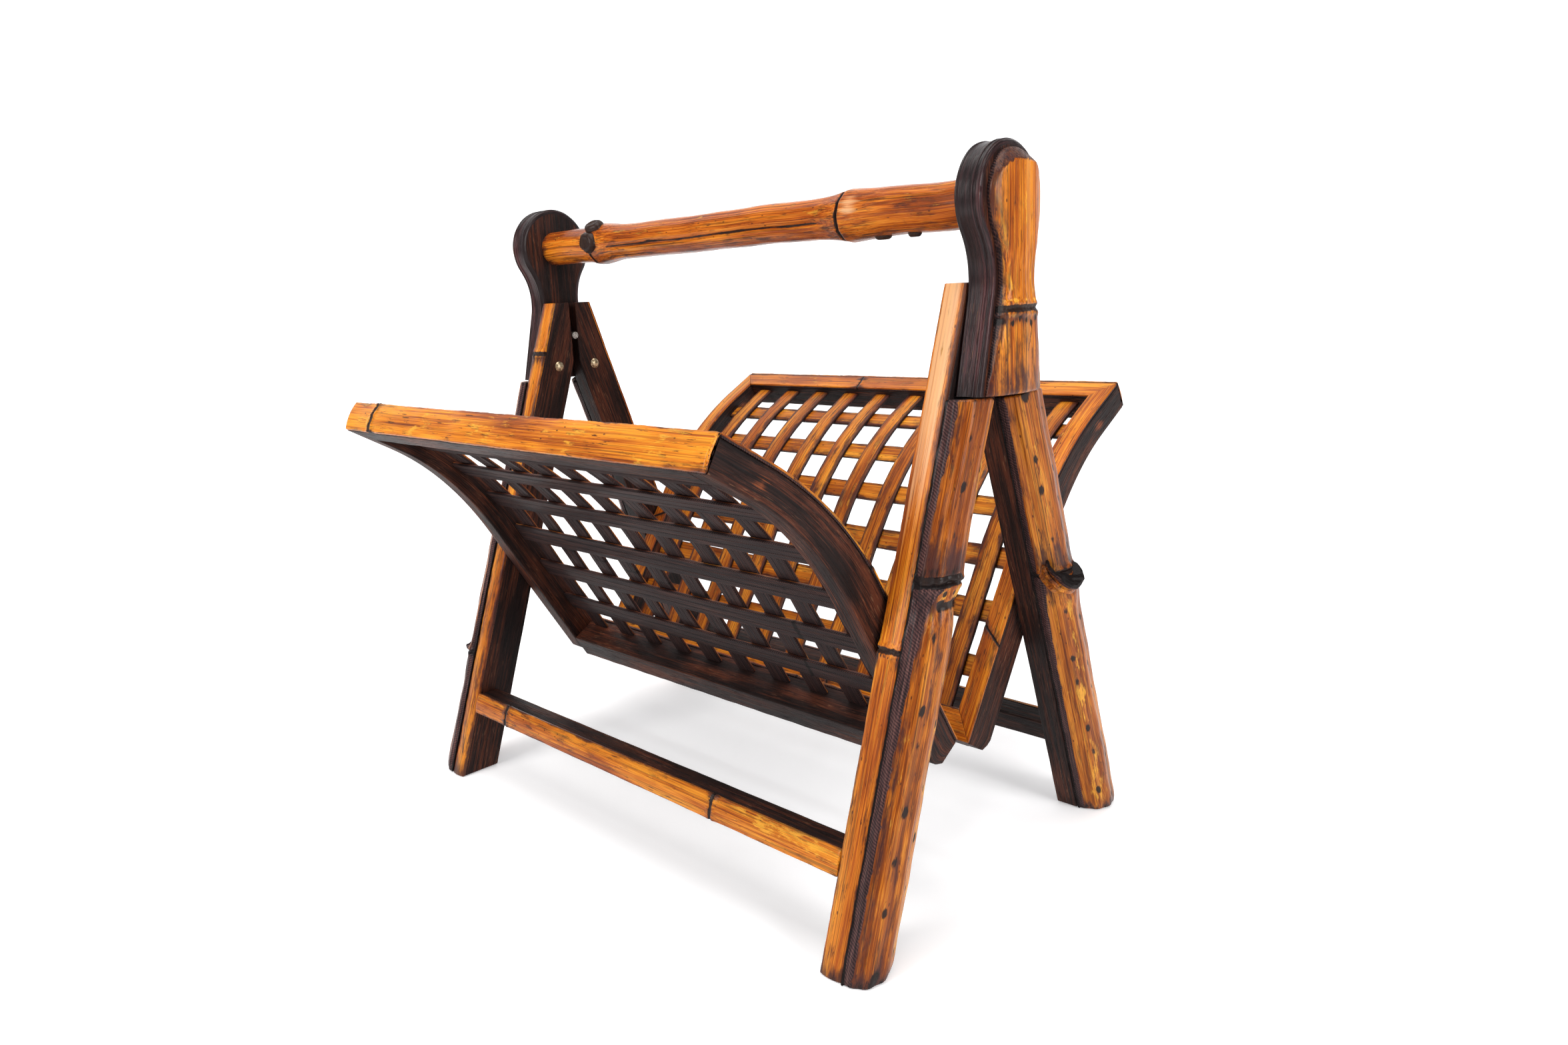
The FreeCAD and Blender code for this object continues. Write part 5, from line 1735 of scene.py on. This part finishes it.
        def paint(x: Array, y: Array, z: Array) -> Paint:
            """Dark rings and crease, long scorched streaks, painted shade on the lower side and a painted highlight
            beside the near node.
            """
            turn = np.arctan2(z, -y)
            near = self.near_node + 1.2 * np.sin(turn + 0.6)
            far = self.far_node + 1.0 * np.sin(turn)
            between = soft_step(x, self.far_node + 8, self.far_node + 26) * (1 - soft_step(x, near - 22, near - 8))
            char = 1.2 * bell(x, near, 1.5) + 1.2 * bell(x, far, 1.5)
            ticks = bell(x, near + 4.5, 2.8) * (0.5 + 0.5 * np.sin(turn * 70.0))
            char = char + 0.30 * ticks
            char = char + 0.85 * bell(turn, -0.28, 0.075) * between
            for number in range(26):
                mid = -120.0 + 11.0 * number + 6 * math.sin(number * 3.7)
                char = char + 0.40 * bell(x, mid, 11.0) * bell(turn, 0.9 * math.sin(number * 2.4), 0.05)
            # Painted shade on the pole's lower front and underside, and a stain beside the near node.
            stain = 0.45 * soft_step(-turn, 0.2, 1.3) * (turn > -2.4) + 0.30 * bell(x, near - 7.0, 9.0)
            stain = stain + 0.25 * bell(x, far + 6, 10.0) + wobble(x + turn * 40, 2.6, 70.0, 0.16)
            stain = stain + 0.5 * bell(np.abs(x), SIZES.post_inner, 5.0)
            plum = bell(x, 168.0, 15.0) * bell(turn, 0.15, 0.45)
            wear = 0.16 * bell(turn, 0.5, 0.5) + wobble(x + turn * 30, 5.0, 85.0, 0.20)
            # Painted highlight: a pale patch beside the near node, on the pole's front slightly above its middle.
            faded = 0.55 * bell(x, near + 9.0, 9.0) * bell(turn, 0.3, 0.6)
            return {"char": char, "stain": stain + 0.55 * plum, "wear": wear, "faded": faded}

        fine = (self.far_node, self.near_node, self.near_node + 4.0)
        stock.sweep(outline, stations(-end, end, 2.0, fine), place, lift, paint, corner=0.5)
        for x, size in ((133.0, 3.4), (156.0, 2.6)):
            self.knob(stock, Vector((x, -1.5, SIZES.handle_height - self.pole_radius + 0.2)), Vector((0, 0, -1)),
                      size, 2.8, 1.6, 0.9)
        for turn, size, along in ((58.0, 7.2, 1.15), (3.0, 8.0, 1.05)):
            angle = math.radians(turn)
            out = Vector((0, -math.cos(angle), math.sin(angle)))
            root = Vector((self.far_node, 0, SIZES.handle_height)) + out * (self.pole_radius + 0.2)
            self.knob(stock, root, out, size, 4.9, along, 1.1)
        stock.piece(self.body, "bamboo_pole", self.finishes["bamboo_pole"], "handle_pole")

    @staticmethod
    def knob(stock: Stock, root: Vector, out: Vector, size: float, tall: float, long: float,
             char: float) -> None:
        """A charred bud stub or branch scar.

        Args:
            stock: the pole's stock.
            root: its middle on the pole's surface.
            out: the direction that it points.
            size: its radius across the pole.
            tall: its height.
            long: how much longer it is along the pole.
            char: how burnt it is.
        """
        turns = np.linspace(0.0, 2 * math.pi, 28, endpoint=False)
        along = np.array([1.0, 0.0, 0.0])
        across = np.array(Vector((1, 0, 0)).cross(out))
        rows = []
        profile = [(-1.5, 1.0), (0.0, 1.02), (0.35, 1.0), (0.7, 0.88), (0.9, 0.72), (0.96, 0.6), (0.84, 0.45),
                   (0.8, 0.2)]
        for share, reach in profile:
            uneven = 1 + 0.08 * np.sin(turns * 2 + 1) + 0.05 * np.sin(turns * 5)
            lift = tall * (share if share > 0 else share * 0.6)
            rows.append(np.array(root) + np.array(out) * lift
                        + (size * long * reach * uneven * np.cos(turns))[:, None] * along
                        + (size * reach * uneven * np.sin(turns))[:, None] * across)
        points = np.array(rows)
        stock.add_grid(points, points - np.array(root), {"char": np.full(points.shape[:2], char),
                                                         "skin": np.full(points.shape[:2], 1.0)})

    def build(self) -> None:
        """Make the posts' bands and faces and the pole."""
        for side, side_name in SIDES:
            self.post_band(side, side_name)
            self.post_face(side, side_name)
        self.pole()


@dataclass
class Fittings:
    """CAD nodes that keep their shape and get a finish: post cores, rivets and pins."""

    nodes: dict[str, bpy.types.Object]
    finishes: dict[str, bpy.types.Material]
    by_ending: dict[str, str] = field(default_factory=lambda: {"leg_rivets": "rivet_brass", "pin": "pin_steel"})

    def dress(self) -> None:
        """Give each shown CAD node its finish."""
        for name, part in sorted(self.nodes.items()):
            if part.hide_render:
                continue
            finish = next((slot for ending, slot in self.by_ending.items() if name.endswith(ending)), "post_core")
            part.data.materials.clear()
            part.data.materials.append(self.finishes[finish])
            LOG.info("%s: %s", name, finish)


@dataclass(frozen=True)
class Softbox:
    """A soft square light that points at the rack; its place and side are in metres, its power in watts."""

    name: str
    spot: Spot
    size: float
    power: float
    warmth: Colour
    aim: Spot = (0.0, 0.0, 0.2)

    def build(self) -> None:
        """Hang the light and turn it to the rack."""
        light = bpy.data.lights.new(self.name, "AREA")
        light.shape = "SQUARE"
        light.size = self.size
        light.energy = self.power
        light.color = self.warmth
        lamp = bpy.data.objects.new(self.name, light)
        bpy.context.scene.collection.objects.link(lamp)
        lamp.location = self.spot
        lamp.rotation_mode = "QUATERNION"
        lamp.rotation_quaternion = (Vector(self.aim) - Vector(self.spot)).to_track_quat("-Z", "Y")


@dataclass
class Studio:
    """Pale floor, soft lights and the camera."""

    eye: Spot = (0.5320, -0.5022, 0.3557)
    azimuth: float = 44.47
    tilt: float = 12.21
    roll: float = -2.73
    lens: float = 24.15
    floor_level: float = -0.0004
    near_glow: Colour = (0.32, 0.32, 0.325)
    far_glow: Colour = (0.72, 0.72, 0.72)
    room_glow: float = 0.12
    film_width: float = 36.0
    softboxes: tuple[Softbox, ...] = (
        Softbox("top_softbox", (0.1, -0.2, 1.9), 1.4, 31.0, (1.0, 0.99, 0.97)),
        Softbox("front_softbox", (-0.4, -1.8, 1.1), 0.9, 25.0, (1.0, 0.98, 0.96)),
        Softbox("side_softbox", (1.9, -0.1, 0.9), 0.8, 25.0, (1.0, 0.99, 0.98)))

    def floor(self) -> None:
        """A pale floor that curves up into a wall behind the rack and glows, less near the rack than far from it."""
        reach, back, tall, bend, columns = 6.0, 3.2, 5.0, 1.6, 9
        profile = [(-reach, 0.0), (back - bend, 0.0)]
        profile += [(back - bend + bend * math.sin(t), bend - bend * math.cos(t))
                    for t in np.linspace(0.1, math.pi / 2, 16)]
        profile.append((back, tall))
        turn = math.radians(self.azimuth)
        rows = [(x * math.cos(turn) - y * math.sin(turn), x * math.sin(turn) + y * math.cos(turn),
                 z + self.floor_level) for y, z in profile for x in np.linspace(-reach, reach, columns)]
        faces = [(r * columns + c, r * columns + c + 1, (r + 1) * columns + c + 1, (r + 1) * columns + c)
                 for r in range(len(profile) - 1) for c in range(columns - 1)]
        mesh = bpy.data.meshes.new("studio_floor")
        mesh.from_pydata(rows, [], faces)
        mesh.polygons.foreach_set("use_smooth", [True] * len(mesh.polygons))
        bench = NodeBench("glowing_pale_backdrop")
        # The floor glows: dimmer near the rack, brighter far from it.
        away = bench.add("ShaderNodeVectorMath", {"operation": "LENGTH"}, {0: bench.upright()})
        glow = bench.blend(Signal(bench, away.outputs["Value"]).above(0.35, 1.5), self.near_glow, self.far_glow)
        mesh.materials.append(bench.surface((0.84, 0.84, 0.85), 0.9, None, 0.0, Emission_Color=glow,
                                            Emission_Strength=1.0, Specular_IOR_Level=0.1))
        sheet = bpy.data.objects.new("studio_floor", mesh)
        bpy.context.scene.collection.objects.link(sheet)

    def lights(self) -> None:
        """Softboxes above, to the front left and to the right, and a pale room around them."""
        for softbox in self.softboxes:
            softbox.build()
        world = bpy.data.worlds.new("studio_room")
        world.use_nodes = True
        room = world.node_tree.nodes["Background"]
        room.inputs[0].default_value = (1.0, 1.0, 1.0, 1.0)
        room.inputs[1].default_value = self.room_glow
        bpy.context.scene.world = world
        bpy.context.scene.view_settings.view_transform = "Standard"

    def camera(self) -> None:
        """The camera, looking down a little at the rack's front right corner."""
        azimuth, tilt, roll = (math.radians(v) for v in (self.azimuth, self.tilt, self.roll))
        forward = Vector((-math.sin(azimuth) * math.cos(tilt), math.cos(azimuth) * math.cos(tilt), -math.sin(tilt)))
        right = forward.cross(Vector((0, 0, 1))).normalized()
        down = forward.cross(right)
        turned_right = right * math.cos(roll) - down * math.sin(roll)
        turned_down = right * math.sin(roll) + down * math.cos(roll)
        columns = (turned_right, -turned_down, -forward)
        data = bpy.data.cameras.new("rack_camera")
        data.lens = self.lens
        data.sensor_width = self.film_width
        data.clip_start, data.clip_end = 0.01, 50.0
        camera = bpy.data.objects.new("rack_camera", data)
        bpy.context.scene.collection.objects.link(camera)
        turn = Matrix([[column[axis] for column in columns] for axis in range(3)]).to_4x4()
        camera.matrix_world = Matrix.Translation(self.eye) @ turn
        bpy.context.scene.camera = camera

    def build(self) -> None:
        """Set up the whole studio."""
        self.floor()
        self.lights()
        self.camera()


def main() -> None:
    """Build the looks around the frame."""
    logging.basicConfig(level=logging.INFO, format="%(name)s: %(message)s")
    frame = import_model()
    SIZES.measure(frame)
    finishes = FinishSet().build()
    HandleFrame(finishes).build()
    LegPair("front", -1, {"left": CulmDetail((90.0,), (319.0,), stub_height=90.0, stained=0.22),
                          # The near leg's strip gets a strong painted highlight.
                          "right": CulmDetail((202.5,), (167.0,), notch=True, faded=0.75)}, finishes).build()
    cup = CulmDetail((183.0,), (120.0,), stub_height=183.0, stub_size=1.25, stub_lean=5.0)
    LegPair("rear", 1, {"left": CulmDetail((175.0,), (210.0,)), "right": cup}, finishes).build()
    Panel("front_panel", -1, end_y=5.0, end_z=86.0, lean=59.0, top_node=70.0, side_nodes={"left": 90.0, "right": 150.0},
          skin_node=-148.0, finishes=finishes).build()
    Panel("rear_panel", 1, end_y=5.0, end_z=79.5, lean=57.2, top_node=-45.0, side_nodes={"left": 110.0, "right": 65.0},
          skin_node=40.0, finishes=finishes).build()
    Fittings(frame["nodes"], finishes).dress()
    Studio().build()


if __name__ == "__main__":
    main()
